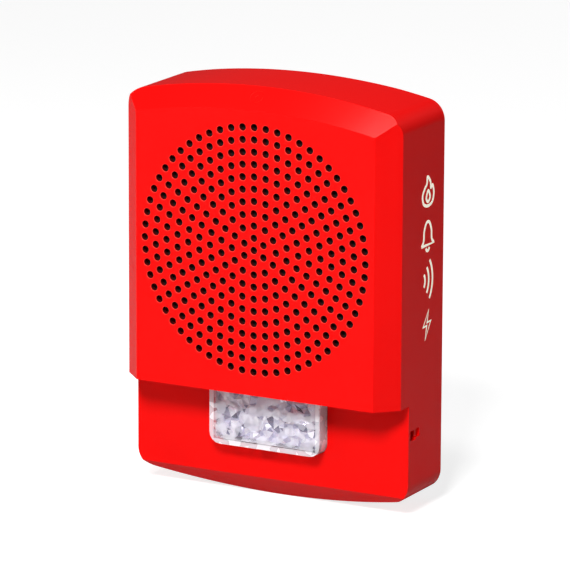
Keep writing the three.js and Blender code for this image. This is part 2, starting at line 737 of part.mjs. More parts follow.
function terminalStrip() {
  const y = flangeY + speaker.sheet + fit;
  const base = centred(7, y, y + 1, stripZ - 3, stripZ + 2.6);
  const tags = [-speaker.tagX, speaker.tagX].map((x) => block(x - 1, x + 1, y + 0.9, y + 1.6, stripZ - 5, stripZ + 1));
  return join(base, ...tags);
}

const scrim = () => rod(0, grilleZ, speaker.flangeRadius - speaker.ringWidth, innerFrontY + fit,
  innerFrontY + fit + 0.4, 28);
const gasket = () => ring(speaker.openingRadius + 2.8, speaker.flangeRadius - 0.2,
  seatY - speaker.gasket, seatY, 28);

// A lead from a tag of the terminal strip down to the main board.
function speakerLead(side) {
  const tagY = flangeY + speaker.sheet + fit + 2.4;
  const points = [
    [side * speaker.tagX, tagY + 0.3, stripZ - 3.2],
    [side * 5.5, tagY + 3.5, stripZ - 3.4],
    [side * 9, (tagY + boardFrontY) / 2, stripZ - 2.6],
    [side * 12, boardFrontY - 4, (stripZ + boardTop) / 2 - 1.2],
    [side * 12.5, boardFrontY - 0.9, boardTop - 2.2],
  ];
  const path = new THREE.CatmullRomCurve3(points.map((p) => new THREE.Vector3(...p)));
  const section = new THREE.Shape().absarc(0, 0, 0.7, 0, 2 * Math.PI);
  const settings = { steps: 14, extrudePath: path, curveSegments: 4 };
  return solid(new THREE.ExtrudeGeometry(section, settings));
}

// ---------------------------------------------------------------- strobe
const lensFrontY = panelY - lens.proud;
const lensFlangeY = panelBackY + fit;
const lensTop = browZ - fit;
const lensBottom = lensTop - lens.height;
const lensBackY = lensFlangeY + lens.flangeThickness;
const strobeBoardY = lensBackY + fit;
const strobeBoardBackY = strobeBoardY + board.strobeThickness;

function strobeLens() {
  const skin = prism(lensOutline(0), lensFrontY, lensBackY);
  const hollow = prism(lensOutline(-lens.wall, lensTop - lens.wall), lensFrontY + lens.wall, 0);
  const flange = prism(lensOutline(lens.flange, browZ), lensFlangeY, lensBackY);
  return cut(join(skin, flange), hollow, ...stakes(lens.stakeRadius + fit, lensFlangeY - beyond));
}

// Moulded pins of the cover that carry the lens flange and the strobe board.
function stakes(radius, fromY) {
  const x = (lens.width + lens.flange) / 2;
  const heights = [lensTop - 7, lensBottom + 5];
  return [-x, x].flatMap((sx) => heights.map((z) => rod(sx, z, radius, fromY, strobeBoardY + 2.2, 8)));
}

const ledX = Array.from({ length: led.count }, (_, i) => (i - (led.count - 1) / 2) * led.spacing);
const ledFrontY = strobeBoardY - fit - led.height;
const ledZ = (lensTop + lensBottom) / 2;

// A metallised tray with one conical well for each diode; its rim stands on the strobe board.
function reflector() {
  const inset = lens.wall + fit;
  const floorY = strobeBoardY - fit - 1.6;
  const body = prism(lensOutline(-inset, lensTop - inset), lensFrontY + lens.wall + 2.4,
    strobeBoardY - fit);
  const wells = ledX.map((x) => {
    const well = new THREE.CylinderGeometry(led.wellFoot, led.wellMouth, led.wellDepth, 12);
    return solid(well.translate(x, floorY - 3.6, ledZ));
  });
  const underside = centred(ledX[3] + 3, floorY, strobeBoardY, ledZ - 5, ledZ + 5);
  return cut(body, underside, ...wells);
}

function strobeBoard() {
  const sheet = prism(lensOutline(lens.flange, lensTop), strobeBoardY, strobeBoardBackY);
  return cut(sheet, ...stakes(lens.stakeRadius + fit, lensFlangeY - beyond));
}

const strobeLed = (x) => block(x - led.side / 2, x + led.side / 2, ledFrontY, strobeBoardY - fit,
  ledZ - led.side / 2, ledZ + led.side / 2);

// ---------------------------------------------------------------- main board and what is on it
const candelaZ = boardTop - candela.belowBoardTop;
const volumeZ = boardTop - volume.belowBoardTop;

function mainBoard() {
  const sheet = centred(boardHalf, boardFrontY, boardY, boardBottom, boardTop);
  const holes = boardPins.map(([x, z]) => rod(x, z, 1.4, 2 * boardY, 0, 8));
  return cut(sheet, ...holes);
}

const frontOfBoard = boardFrontY - fit;
const besideStrobe = lens.width / 2 + lens.flange + 1; // clear of the strobe board, in x

function storageCapacitor() {
  const radius = 5;
  return post(besideStrobe + radius, frontOfBoard - radius, radius, boardBottom + 7, boardBottom + 29, 20);
}

function filterCapacitor() {
  const radius = 4;
  return rod(-besideStrobe - radius, boardBottom + 12, radius, frontOfBoard - 9, frontOfBoard);
}

function boostInductor() {
  const x = -besideStrobe - 6;
  const z = boardBottom + 28;
  const rims = [rod(x, z, 6, frontOfBoard - 1.5, frontOfBoard), rod(x, z, 6, frontOfBoard - 7.5,
    frontOfBoard - 6)];
  return join(...rims, rod(x, z, 5, frontOfBoard - 7, frontOfBoard - 0.5));
}

const transformerX = -halfWidth + transformer.fromSide;
const transformerY = chassisY - fit - transformer.behind;
const coreHalf = { x: 8, y: 4, z: 10 };

// Two blocks of the chassis that the ends of the core rest on.
function transformerFeet() {
  const z = grilleZ + coreHalf.z;
  const coreBack = transformerY + coreHalf.y + fit;
  return [z, 2 * grilleZ - z + transformer.foot].map((high) => block(transformerX - coreHalf.x,
    transformerX + coreHalf.x, coreBack, chassisY + sink, high - transformer.foot, high));
}

function transformerCore() {
  const stack = block(transformerX - coreHalf.x, transformerX + coreHalf.x,
    transformerY - coreHalf.y, transformerY + coreHalf.y, grilleZ - coreHalf.z, grilleZ + coreHalf.z);
  const windows = [-1, 1].map((side) => {
    const z = grilleZ + side * 5;
    return block(transformerX - 5.5, transformerX + 5.5, frontY, 0, z - transformer.limb,
      z + transformer.limb);
  });
  return cut(stack, ...windows);
}

function transformerWinding() {
  const { bobbin, bobbinReach } = transformer;
  const body = block(transformerX - bobbin, transformerX + bobbin, transformerY - bobbinReach,
    transformerY + bobbinReach, grilleZ - 7, grilleZ + 7);
  const limbY = coreHalf.y + fit;
  return body.subtract(block(transformerX - 9, transformerX + 9, transformerY - limbY,
    transformerY + limbY, grilleZ - 2.9, grilleZ + 2.9));
}

function candelaBody() {
  const half = candela.travel / 2 + candela.bodyHalf;
  const body = block(candela.x - half, candela.x + half, boardY + fit, boardY + switchDepth,
    candelaZ - candela.bodyHalf, candelaZ + candela.bodyHalf);
  const slot = block(candela.x - half + 1.5, candela.x + half - 1.5, boardY + 2.2, boardY + 6,
    candelaZ - 1.6, candelaZ + 1.6);
  return body.subtract(slot);
}

// The slider at its first position, the left end of its travel.
function candelaSlider() {
  const x = candela.x - candela.travel / 2;
  const { stemHalf, gripHalf } = candela;
  const stem = block(x - stemHalf, x + stemHalf, boardY + 2.6, boardY + 8, candelaZ - 1.3, candelaZ + 1.3);
  const grip = block(x - gripHalf, x + gripHalf, boardY + switchDepth + 0.4, chassisBackY - knobRecess,
    candelaZ - 1.8, candelaZ + 1.8);
  const groove = block(x - slitHalf, x + slitHalf, chassisBackY - 2 * knobRecess, 0, candelaZ - 3,
    candelaZ + 3);
  return join(stem, grip).subtract(groove);
}

function volumeBody() {
  const half = volume.radius + 1.2;
  const body = block(volume.x - half, volume.x + half, boardY + fit, boardY + switchDepth, volumeZ - half,
    volumeZ + half);
  return body.subtract(rod(volume.x, volumeZ, volume.radius + fit, boardY + 3, 0, 20));
}

function volumeDial() {
  const disc = rod(volume.x, volumeZ, volume.radius, boardY + 3.4, chassisBackY - knobRecess, 20);
  const slot = block(volume.x - 0.7, volume.x + 0.7, chassisBackY - 2, 0, volumeZ - 1.5,
    volumeZ + volume.radius - 0.8);
  const tail = block(volume.x - 1.6, volume.x + 1.6, chassisBackY - 2, 0, volumeZ - 2.6, volumeZ - 1.4);
  return cut(disc, slot, tail);
}

const headerTop = blockBottom - 4;
const headerBottom = cageTopZ + fit;

function contactHeader() {
  return centred(terminal.width / 2, boardY + fit, boardY + 2.6, headerBottom, headerTop);
}

// A leaf that leaves the header, bows out to its terminal's pad and turns back to the board.
function contactSpring(x) {
  const root = headerTop + fit;
  const crest = padBottom + 1.8;
  const tip = padBottom + 4.6;
  const sheet = 0.4;
  const base = boardY + fit;
  const reach = blockFrontY - fit - 0.8 - fit;
  const side = [[root, base], [root, base + sheet], [crest, reach], [tip, base + 1.2], [tip, base + 0.7],
    [crest, reach - sheet], [root + 0.8, base]];
  const shape = polygon(side.map(([z, y]) => [y, z]));
  const leaf = new THREE.ExtrudeGeometry(shape, { depth: 4, bevelEnabled: false });
  leaf.translate(0, 0, -2);
  const toFrame = new THREE.Matrix4().makeBasis(
    new THREE.Vector3(0, 1, 0), new THREE.Vector3(0, 0, 1), new THREE.Vector3(1, 0, 0));
  return solid(leaf.applyMatrix4(toFrame).translate(x, 0, 0));
}

// ---------------------------------------------------------------- finishes
const finish = (color, roughness, metalness = 0) =>
  new THREE.MeshStandardMaterial({ color, roughness, metalness });
const redPlastic = finish(0xe0130c, 0.42);
const blackPlastic = finish(0x1b1b1d, 0.55);
const clearPlastic = finish(0xe8ecf4, 0.08);
const mirror = finish(0xdfe2ea, 0.1, 1);
const zinc = finish(0xb9bcc0, 0.35, 1);
const darkSteel = finish(0x3a3c40, 0.45, 1);
const brass = finish(0xc8a24a, 0.3, 1);
const ferrite = finish(0x2c2c2e, 0.7);
const cloth = finish(0x111112, 0.95);
const paper = finish(0x232323, 0.85);
const foam = finish(0x1a1a1b, 0.9);
const copper = finish(0xb5653a, 0.35, 1);
const resin = finish(0x1f5c38, 0.5);
const ivory = finish(0xe9e4d2, 0.5);
const emitter = finish(0xf2e27a, 0.3);
const sleeve = finish(0x20242c, 0.4);
const redLead = finish(0xb3201c, 0.5);
const blackLead = finish(0x17171a, 0.5);

// ---------------------------------------------------------------- assembly
const hornStrobe = new THREE.Group();
hornStrobe.name = "horn_strobe";

function add(parent, name, made, material) {
  const mesh = new THREE.Mesh(geometryOf(made), material);
  mesh.name = name;
  parent.add(mesh);
}

function group(parent, name) {
  const made = new THREE.Group();
  made.name = name;
  parent.add(made);
  return made;
}

const wallSide = group(hornStrobe, "wall_side");
add(wallSide, "mounting_plate", mountingPlate(), zinc);
add(wallSide, "lock_bracket", lockBracket(), zinc);
add(wallSide, "terminal_block", terminalBlock(), ivory);
terminalX.forEach((x, i) => {
  add(wallSide, `terminal_contact_${i + 1}`, terminalContact(x), brass);
  add(wallSide, `terminal_screw_${i + 1}`, terminalScrew(x), zinc);
});

const appliance = group(hornStrobe, "appliance");
add(appliance, "front_cover", frontCover(), redPlastic);
add(appliance, "grille_scrim", scrim(), cloth);
add(appliance, "speaker_gasket", gasket(), foam);
add(appliance, "speaker_basket", speakerBasket(), darkSteel);
add(appliance, "speaker_top_plate", topPlate(), zinc);
add(appliance, "speaker_magnet", magnet(), ferrite);
add(appliance, "speaker_yoke", yoke(), zinc);
add(appliance, "speaker_spider", spider(), cloth);
add(appliance, "speaker_surround", surround(), foam);
add(appliance, "speaker_terminal_strip", terminalStrip(), paper);
earPlaces.forEach((place, i) => {
  add(appliance, `speaker_screw_${i + 1}`, speakerScrew(place), zinc);
});
add(appliance, "speaker_lead_positive", speakerLead(-1), redLead);
add(appliance, "speaker_lead_negative", speakerLead(1), blackLead);
add(appliance, "strobe_lens", strobeLens(), clearPlastic);
add(appliance, "strobe_reflector", reflector(), mirror);
add(appliance, "strobe_board", strobeBoard(), resin);
ledX.forEach((x, i) => {
  add(appliance, `strobe_led_${i + 1}`, strobeLed(x), emitter);
});
add(appliance, "main_board", mainBoard(), resin);
add(appliance, "storage_capacitor", storageCapacitor(), sleeve);
add(appliance, "filter_capacitor", filterCapacitor(), sleeve);
add(appliance, "boost_inductor", boostInductor(), ferrite);
add(appliance, "transformer_core", transformerCore(), darkSteel);
add(appliance, "transformer_winding", transformerWinding(), copper);
add(appliance, "candela_switch_body", candelaBody(), blackPlastic);
add(appliance, "volume_switch_body", volumeBody(), blackPlastic);
add(appliance, "contact_header", contactHeader(), ivory);
terminalX.forEach((x, i) => {
  add(appliance, `contact_spring_${i + 1}`, contactSpring(x), brass);
});
add(appliance, "rear_chassis", rearChassis(), blackPlastic);
bossPlaces.forEach((place, i) => {
  add(appliance, `chassis_screw_${i + 1}`, chassisScrew(place), zinc);
});

const diaphragm = group(appliance, "diaphragm");
add(diaphragm, "speaker_cone", cone(), paper);
add(diaphragm, "dust_cap", dustCap(), cloth);
add(diaphragm, "voice_coil_former", coilFormer(), paper);
add(diaphragm, "voice_coil_winding", coilWinding(), copper);

add(appliance, "candela_slider", candelaSlider(), ivory);
add(appliance, "volume_dial", volumeDial(), ivory);
add(appliance, "lock_screw", lockScrew(), zinc);
add(appliance, "lock_nut", lockNut(), zinc);

export default hornStrobe;
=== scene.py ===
# %% [markdown]
# # A horn strobe, from its mechanical frame to its finished surfaces
#
# A horn strobe is the red appliance on a wall that sounds and flashes in a fire alarm. A cover with a
# round grille hides a loudspeaker, and a clear window under it hides a reflector with light-emitting
# diodes. Its mechanical parts are already solid models with true sizes, and this script loads them and
# gives every visible surface its real edges, textures and finish.
#
# The loaded parts are the frame. Each new piece either rides on one of the frame's bodies or stands in
# place of one of its nodes, so the swinging, turning and sliding parts still move as they should.

import json
import math

import bmesh
import bpy
from mathutils import Matrix, Vector

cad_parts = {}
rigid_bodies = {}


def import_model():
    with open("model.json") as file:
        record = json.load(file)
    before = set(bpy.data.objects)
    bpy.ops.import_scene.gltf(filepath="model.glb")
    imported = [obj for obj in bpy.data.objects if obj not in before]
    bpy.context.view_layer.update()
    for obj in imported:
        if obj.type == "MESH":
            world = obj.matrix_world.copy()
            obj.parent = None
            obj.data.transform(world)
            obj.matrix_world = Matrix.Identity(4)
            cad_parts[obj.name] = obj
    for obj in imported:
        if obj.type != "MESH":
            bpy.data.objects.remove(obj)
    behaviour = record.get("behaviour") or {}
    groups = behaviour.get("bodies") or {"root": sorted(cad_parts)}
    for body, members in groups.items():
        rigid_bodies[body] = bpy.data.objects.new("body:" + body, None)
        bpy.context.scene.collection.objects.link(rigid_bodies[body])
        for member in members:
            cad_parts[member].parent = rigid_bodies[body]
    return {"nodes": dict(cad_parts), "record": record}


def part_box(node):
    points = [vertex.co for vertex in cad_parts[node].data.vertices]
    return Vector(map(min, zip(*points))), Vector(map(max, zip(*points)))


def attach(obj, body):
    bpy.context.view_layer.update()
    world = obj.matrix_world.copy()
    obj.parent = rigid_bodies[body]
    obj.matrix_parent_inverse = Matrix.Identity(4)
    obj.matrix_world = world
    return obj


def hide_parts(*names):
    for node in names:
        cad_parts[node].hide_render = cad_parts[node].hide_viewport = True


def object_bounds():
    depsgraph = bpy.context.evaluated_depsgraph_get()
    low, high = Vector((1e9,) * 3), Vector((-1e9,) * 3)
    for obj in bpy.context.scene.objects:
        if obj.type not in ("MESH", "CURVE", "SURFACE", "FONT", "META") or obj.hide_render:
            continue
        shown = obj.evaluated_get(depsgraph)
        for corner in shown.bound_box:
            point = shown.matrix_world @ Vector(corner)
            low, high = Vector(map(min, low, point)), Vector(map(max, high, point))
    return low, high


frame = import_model()
cad_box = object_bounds()
MM = 0.001

# %% [markdown]
# ## Sizes
#
# The outline of the cover is a rectangle with a crowned top and bottom and round corners. The frame says
# how large the cover is, so the script measures its box and only adds the radii and walls that a box
# cannot tell. A value written once and reused keeps the pieces in line with each other.

# %% Measure the cover, the lens and the grille
cover_low, cover_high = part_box("front_cover")
lens_low, lens_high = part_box("strobe_lens")
scrim_low, scrim_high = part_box("grille_scrim")
half_width = (cover_high.x - cover_low.x) / 2
crown = cover_high.z
front_y = cover_low.y
rear_y = cover_high.y
wall = 2.4 * MM
top_radius = 268 * MM
bottom_radius = 262 * MM
corner_radius = 8.2 * MM
bevel = 8 * MM
setback = 15 * MM
chin_height = 8.2 * MM
edge_radius = 0.7 * MM
grille_z = (scrim_low.z + scrim_high.z) / 2
brow_z = lens_high.z
lens_flange = 5 * MM
lens_bottom = lens_low.z + lens_flange
lens_half = lens_high.x - lens_flange
panel_y = front_y + setback
chin_z = -crown + chin_height
print("cover", [round(2000 * v, 1) for v in (half_width, crown)], "mm, grille centre", round(grille_z, 4))

# %% [markdown]
# The grille is a honeycomb of round holes: one in the middle and rings of 6, 12, 18 and so on about it.
# Its spacing is needed early, because the red finish paints shade into the bores that lie within this circle.

# %% How the grille is spaced
hole_pitch = 4.85 * MM
hole_rings = 10
hole_field = hole_pitch * (hole_rings + 0.4)
print("holes lie within", round(2000 * hole_field, 1), "mm")

# %% [markdown]
# ## Camera
#
# A long lens far away keeps upright edges nearly parallel, as in a catalogue. The camera looks at the
# middle of the object from 28 degrees to its right and 14 degrees above. Its position is the target plus
# the viewing direction times the distance.

# %% Place the camera
view_azimuth = math.radians(28.29)
view_elevation = math.radians(13.64)
view_roll = math.radians(0.25)
view_distance = 1.953
lens_length = 315.8
target = Vector((0.0020, front_y / 2, 0.0021))

towards_camera = Vector(
    (
        math.sin(view_azimuth) * math.cos(view_elevation),
        -math.cos(view_azimuth) * math.cos(view_elevation),
        math.sin(view_elevation),
    )
)
camera_data = bpy.data.cameras.new("camera")
camera_data.lens = lens_length
camera_data.sensor_width = 36
camera = bpy.data.objects.new("camera", camera_data)
bpy.context.scene.collection.objects.link(camera)
camera.location = target + towards_camera * view_distance
facing = (-towards_camera).to_track_quat("-Z", "Y").to_matrix() @ Matrix.Rotation(view_roll, 3, "Z")
camera.rotation_euler = facing.to_euler()
bpy.context.scene.camera = camera
print("camera at", [round(v, 3) for v in camera.location])

# %% [markdown]
# ## Light
#
# Moulded red plastic shows its shape through soft highlights. The main panel stands in front, high and a
# little to the right, so that the face is evenly lit and the brow throws its shadow on the lower face. A
# small panel above draws the highlight along the sloped edge, a large weak one on the left fills the bevels
# there, and one far behind lights the floor. The right side stays in shade, so that the depth reads.

# %% Set the lights and the world


def soft_light(name, place, aim, size, power):
    lamp = bpy.data.lights.new(name, "AREA")
    lamp.shape = "SQUARE"
    lamp.size = size
    lamp.energy = power
    holder = bpy.data.objects.new(name, lamp)
    bpy.context.scene.collection.objects.link(holder)
    holder.location = place
    holder.rotation_euler = (Vector(aim) - Vector(place)).to_track_quat("-Z", "Y").to_euler()
    return holder


soft_light("key_panel", place=(0.29, -1.04, 0.90), aim=(0, 0, 0), size=0.34, power=22)
soft_light("top_panel", place=(-0.10, -0.40, 0.93), aim=(0.05, 0, 0.08), size=0.15, power=3.0)
soft_light("left_fill", place=(-1.05, -0.75, 0.30), aim=(0, 0, 0), size=0.6, power=5)
soft_light("back_panel", place=(0, 2.6, 0.3), aim=(0, 0, 0), size=0.8, power=16)

world = bpy.data.worlds.new("studio")
world.use_nodes = True
bpy.context.scene.world = world
bpy.context.scene.view_settings.view_transform = "Standard"

# %% [markdown]
# ## Writing node trees as expressions
#
# A node tree is a formula drawn as boxes. Here a small class wraps a socket and overloads the usual
# operators, so that `1 - mask * 0.5` adds the Math nodes for it. One method makes every other node from
# its type, its settings and the values or links of its sockets. The same class serves material trees and
# Geometry Nodes trees.

# %% A socket that understands arithmetic


class Value:
    def __init__(self, graph, socket):
        self.graph = graph
        self.socket = socket

    def math(self, operation, *others):
        inputs = dict(enumerate((self, *others)))
        return self.graph.add("ShaderNodeMath", {"operation": operation}, inputs)

    def __add__(self, other):
        return self.math("ADD", other)

    def __radd__(self, other):
        return self.math("ADD", other)

    def __mul__(self, other):
        return self.math("MULTIPLY", other)

    def __rmul__(self, other):
        return self.math("MULTIPLY", other)

    def __sub__(self, other):
        return self.math("SUBTRACT", other)

    def __rsub__(self, other):
        return self.graph.add("ShaderNodeMath", {"operation": "SUBTRACT"}, {0: other, 1: self})

    def __truediv__(self, other):
        return self.math("DIVIDE", other)

    def __gt__(self, other):
        return self.math("GREATER_THAN", other)

    def __lt__(self, other):
        return self.math("LESS_THAN", other)


class Graph:
    def __init__(self, tree):
        self.tree = tree

    def add(self, kind, settings=None, inputs=None, out=0):
        node = self.tree.nodes.new(kind)
        for name, setting in (settings or {}).items():
            if name == "stops":
                self.set_stops(node.color_ramp, setting)
            else:
                setattr(node, name, setting)
        for key, value in (inputs or {}).items():
            if isinstance(value, Value):
                self.tree.links.new(value.socket, node.inputs[key])
            else:
                node.inputs[key].default_value = value
        return Value(self, node.outputs[out]) if node.outputs else node

    def split(self, vector):
        """The x, y and z of a vector, as three values."""
        node = self.tree.nodes.new("ShaderNodeSeparateXYZ")
        self.tree.links.new(vector.socket, node.inputs[0])
        return [Value(self, part) for part in node.outputs]

    @staticmethod
    def set_stops(ramp, stops):
        while len(ramp.elements) < len(stops):
            ramp.elements.new(1.0)
        for element, (place, colour) in zip(ramp.elements, stops):
            element.position = place
            element.color = colour


def colour(red, green, blue):
    return (red, green, blue, 1.0)


# %% [markdown]
# The world is bright where the camera looks past the object, and dim as a source of light, which keeps
# the background clean without washing out the red. The first output of the Light Path node is 1 for what
# the camera sees straight away.

# %% Fill the world
world_light = 0.06
world_graph = Graph(world.node_tree)
world.node_tree.nodes.clear()
looked_at = world_graph.add("ShaderNodeLightPath")
strength = world_light + looked_at * (1 - world_light)
sky = world_graph.add("ShaderNodeBackground", None, {"Color": colour(1, 1, 1), "Strength": strength})
world_graph.add("ShaderNodeOutputWorld", None, {"Surface": sky})

# %% [markdown]
# ## Finishes
#
# Every finish starts from the Principled shader. What changes over the surface feeds only its colour,
# roughness, clearness, glow and bump. Patterns are read from Object coordinates, in metres, so that a
# scale of 1000 gives a cell about a millimetre across.

# %% The frame that all finishes share


class Finish(Graph):
    """A material in the making: add its nodes, then call done with the sockets of its shader."""

    def __init__(self, name):
        self.material = bpy.data.materials.new(name)
        self.material.use_nodes = True
        super().__init__(self.material.node_tree)
        self.tree.nodes.clear()
        self.place = self.add("ShaderNodeTexCoord", None, None, "Object")

    def noise(self, scale, detail=2.0, roughness=0.5, vector=None):
        inputs = {"Vector": vector or self.place, "Scale": scale, "Detail": detail, "Roughness": roughness}
        return self.add("ShaderNodeTexNoise", None, inputs)

    def cells(self, scale, feature="F1", out="Distance", randomness=1.0):
        inputs = {"Vector": self.place, "Scale": scale, "Randomness": randomness}
        return self.add("ShaderNodeTexVoronoi", {"feature": feature}, inputs, out)

    def stretched(self, x, y, z):
        return self.add("ShaderNodeMapping", None, {"Vector": self.place, "Scale": (x, y, z)})

    def blend(self, mask, first, second):
        """The first colour where the mask is 0 and the second where it is 1."""
        factor, colour_a, colour_b, result = 0, 6, 7, 2
        inputs = {factor: mask, colour_a: first, colour_b: second}
        return self.add("ShaderNodeMix", {"data_type": "RGBA"}, inputs, result)

    def bump(self, height, strength, distance, normal=None):
        inputs = {"Height": height, "Strength": strength, "Distance": distance}
        if normal:
            inputs["Normal"] = normal
        return self.add("ShaderNodeBump", None, inputs)

    def attribute(self, name):
        return self.add("ShaderNodeAttribute", {"attribute_name": name}, None, "Fac")

    def ramp(self, factor, *stops):
        return self.add("ShaderNodeValToRGB", {"stops": stops}, {"Fac": factor})

    def done(self, **inputs):
        sockets = {name.replace("_", " "): value for name, value in inputs.items()}
        shader = self.add("ShaderNodeBsdfPrincipled", None, sockets)
        self.add("ShaderNodeOutputMaterial", None, {"Surface": shader})
        return self.material


# %% [markdown]
# The cover is injection-moulded in a self-coloured red plastic. The tool gives it a fine satin grain, the
# flow of the melt leaves a slow waviness and a slightly uneven tone, and the edges, where fingers and
# cloths rub, are a little lighter and smoother. The edges are found from a number that the mesh stores.
# Painted shade darkens the bores of the grille, which are found from their place behind the face.

# %% Red moulded plastic
# Where the painted shade in the grille's bores starts behind the face, and how far back it reaches.
rim_left_unshaded = 0.45 * MM
hole_shade_reach = 8 * MM


def in_the_holes(f):
    """1 in the bores of the grille, just behind its face, where the red finish paints shade, and 0 elsewhere.
    """
    x, y, z = f.split(f.place)
    depth = y - (front_y + rim_left_unshaded)
    up = z - grille_z
    near = (x * x + up * up) < (hole_field * hole_field)
    return (depth > 0.0) * near * (depth < hole_shade_reach)


def red_moulding():
    f = Finish("red_moulding")
    tone = f.noise(26.0, 3.0)
    cloud = f.noise(7.0, 2.0)
    grain = f.noise(3800.0, 3.0, 0.6)
    peel = f.noise(420.0, 2.0)
    worn = f.attribute("edge")
    deep = f.blend(tone, colour(0.76, 0.0022, 0.0024), colour(0.84, 0.0040, 0.0036))
    body = f.blend(cloud * 0.5, deep, colour(0.82, 0.005, 0.004))
    rubbed = f.blend(worn * 0.5, body, colour(0.95, 0.06, 0.045))
    # Painted shade: the bores of the grille are coloured nearly black.
    painted_hole_shade = f.blend(in_the_holes(f) * 0.93, rubbed, colour(0.010, 0.004, 0.004))
    roughness = 0.17 + grain * 0.06 + tone * 0.04 - worn * 0.02
    slow = f.bump(peel, 0.08, 0.05 * MM)
    normal = f.bump(grain, 0.14, 0.02 * MM, slow)
    return f.done(
        Base_Color=painted_hole_shade,
        Roughness=roughness,
        Normal=normal,
        Specular_IOR_Level=0.075,
        Specular_Tint=colour(1.0, 0.85, 0.8),
    )


red = red_moulding()

# %% [markdown]
# The marks on the side are pad-printed in cream ink, a thin film that is matt and slightly uneven, with
# tiny pinholes where the grain of the plastic shows through. A little of the ink's own colour is given
# off as light, a painted glow that keeps it bright on the shaded wall.

# %% Cream ink


def cream_ink():
    f = Finish("cream_ink")
    patch = f.noise(900.0, 3.0)
    pinholes = f.noise(5200.0, 2.0) > 0.74
    ink = f.blend(patch, colour(0.84, 0.78, 0.62), colour(0.92, 0.88, 0.76))
    speckled = f.blend(pinholes * 0.5, ink, colour(0.75, 0.25, 0.2))
    return f.done(
        Base_Color=speckled,
        Roughness=0.5 + patch * 0.15,
        Normal=f.bump(patch, 0.2, 0.02 * MM),
        # Painted glow: the ink gives off a little of its own colour as light, though it is no lamp.
        Emission_Color=speckled,
        Emission_Strength=0.5,
    )


cream = cream_ink()

# %% [markdown]
# Clear polycarbonate for the strobe lens. A thin clear wall hardly bends the light, so it can be drawn
# as a mostly transparent surface, which keeps what lies behind it bright. Rounded edges and the walls that
# are seen end on are painted whiter and less clear than the flat front, a painted highlight for the light
# they gather. Cells of another clearness stand for the prisms moulded into the inner face, and their
# lavender and white tints are painted glints.

# %% Clear lens plastic
end_wall_wide = 1.9 * MM
floor_wall_tall = 2.0 * MM


def clear_plastic():
    f = Finish("clear_lens_plastic")
    rim = f.attribute("edge")
    flow = f.noise(160.0, 2.0)
    prism = f.cells(330.0, out="Color")
    x, y, z = f.split(f.place)
    end_wall = x.math("ABSOLUTE") > lens_half - end_wall_wide
    floor_wall = z < lens_bottom + floor_wall_tall
    end_on_highlight = (end_wall + floor_wall).math("MINIMUM", 1.0)
    cloudy = (prism > 0.55) * 0.30 + end_on_highlight * 0.42 + rim * 0.5 + 0.06
    # Painted glint: the prism cells tint the lens between lavender and white.
    prism_glint = f.blend(prism, colour(0.66, 0.65, 0.80), colour(0.94, 0.94, 0.98))
    # Painted highlight: the rims and the walls seen end on are coloured whiter.
    bright = f.blend((rim + end_on_highlight * 0.8).math("MINIMUM", 1.0), prism_glint, colour(0.93, 0.94, 0.98))
    normal = f.bump(prism + flow, 0.5, 0.3 * MM)
    return f.done(
        Base_Color=bright, Alpha=cloudy.math("MINIMUM", 0.9), Roughness=0.08 + flow * 0.06, Normal=normal
    )


clear = clear_plastic()

# %% [markdown]
# Metallised plastic inside the lens. Each facet's colour is a painted reflection: the number that each
# face stores picks a tone from white and lavender down to dark navy, and the darkest tones stand for
# the diodes and paint shade into the gaps.

# %% Reflector facets


def metallised():
    f = Finish("metallised_facets")
    shade = f.attribute("shade")
    # Painted reflections: each facet's colour comes from its stored random number, dark navy in the gaps.
    tone = f.ramp(
        shade,
        (0.0, colour(0.006, 0.005, 0.03)),
        (0.06, colour(0.012, 0.010, 0.05)),
        (0.10, colour(0.16, 0.16, 0.25)),
        (0.30, colour(0.46, 0.45, 0.60)),
        (0.60, colour(0.74, 0.73, 0.88)),
        (0.9, colour(0.95, 0.95, 1.0)),
    )
    streaks = f.noise(700.0, 3.0)
    painted_reflections_and_shade = f.blend(streaks * 0.3, tone, colour(0.55, 0.53, 0.68))
    normal = f.bump(streaks, 0.35, 0.06 * MM)
    return f.done(Base_Color=painted_reflections_and_shade, Metallic=0.35, Roughness=0.12 + streaks * 0.2, Normal=normal)


facets_finish = metallised()

# %% [markdown]
# Metals. Zinc-plated sheet has a pale bluish spangle and fine rolling scratches, black-painted steel is
# slightly orange-peeled, and brass contacts are darker where they are not rubbed.

# %% Metal finishes


def zinc_plate():
    f = Finish("zinc_plate")
    spangle = f.cells(260.0, out="Color")
    cloud = f.noise(60.0, 3.0)
    scratch = f.noise(700.0, 2.0, vector=f.stretched(1.0, 1.0, 0.04))
    worn = f.attribute("edge")
    base = f.blend(cloud, colour(0.42, 0.44, 0.46), colour(0.62, 0.64, 0.66))
    patched = f.blend(spangle * 0.35, base, colour(0.72, 0.74, 0.78))
    bright = f.blend(worn * 0.5, patched, colour(0.85, 0.86, 0.88))
    normal = f.bump(scratch, 0.12, 0.03 * MM)
    return f.done(Base_Color=bright, Metallic=0.92, Roughness=0.26 + scratch * 0.22, Normal=normal)


def painted_steel():
    f = Finish("black_painted_steel")
    peel = f.noise(500.0, 2.0)
    dust = f.noise(70.0, 4.0, 0.65)
    worn = f.attribute("edge")
    base = f.blend(dust, colour(0.012, 0.012, 0.014), colour(0.035, 0.035, 0.04))
    chipped = f.blend(worn * 0.3, base, colour(0.25, 0.25, 0.27))
    return f.done(
        Base_Color=chipped, Metallic=0.35, Roughness=0.38 + dust * 0.2, Normal=f.bump(peel, 0.2, 0.05 * MM)
    )


def brass_strip():
    f = Finish("brass_strip")
    tarnish = f.noise(240.0, 4.0, 0.6)
    grain = f.noise(1500.0, 2.0, vector=f.stretched(1.0, 0.1, 1.0))
    base = f.blend(tarnish, colour(0.62, 0.42, 0.14), colour(0.84, 0.66, 0.30))
    return f.done(
        Base_Color=base, Metallic=1.0, Roughness=0.22 + tarnish * 0.25, Normal=f.bump(grain, 0.15, 0.02 * MM)
    )


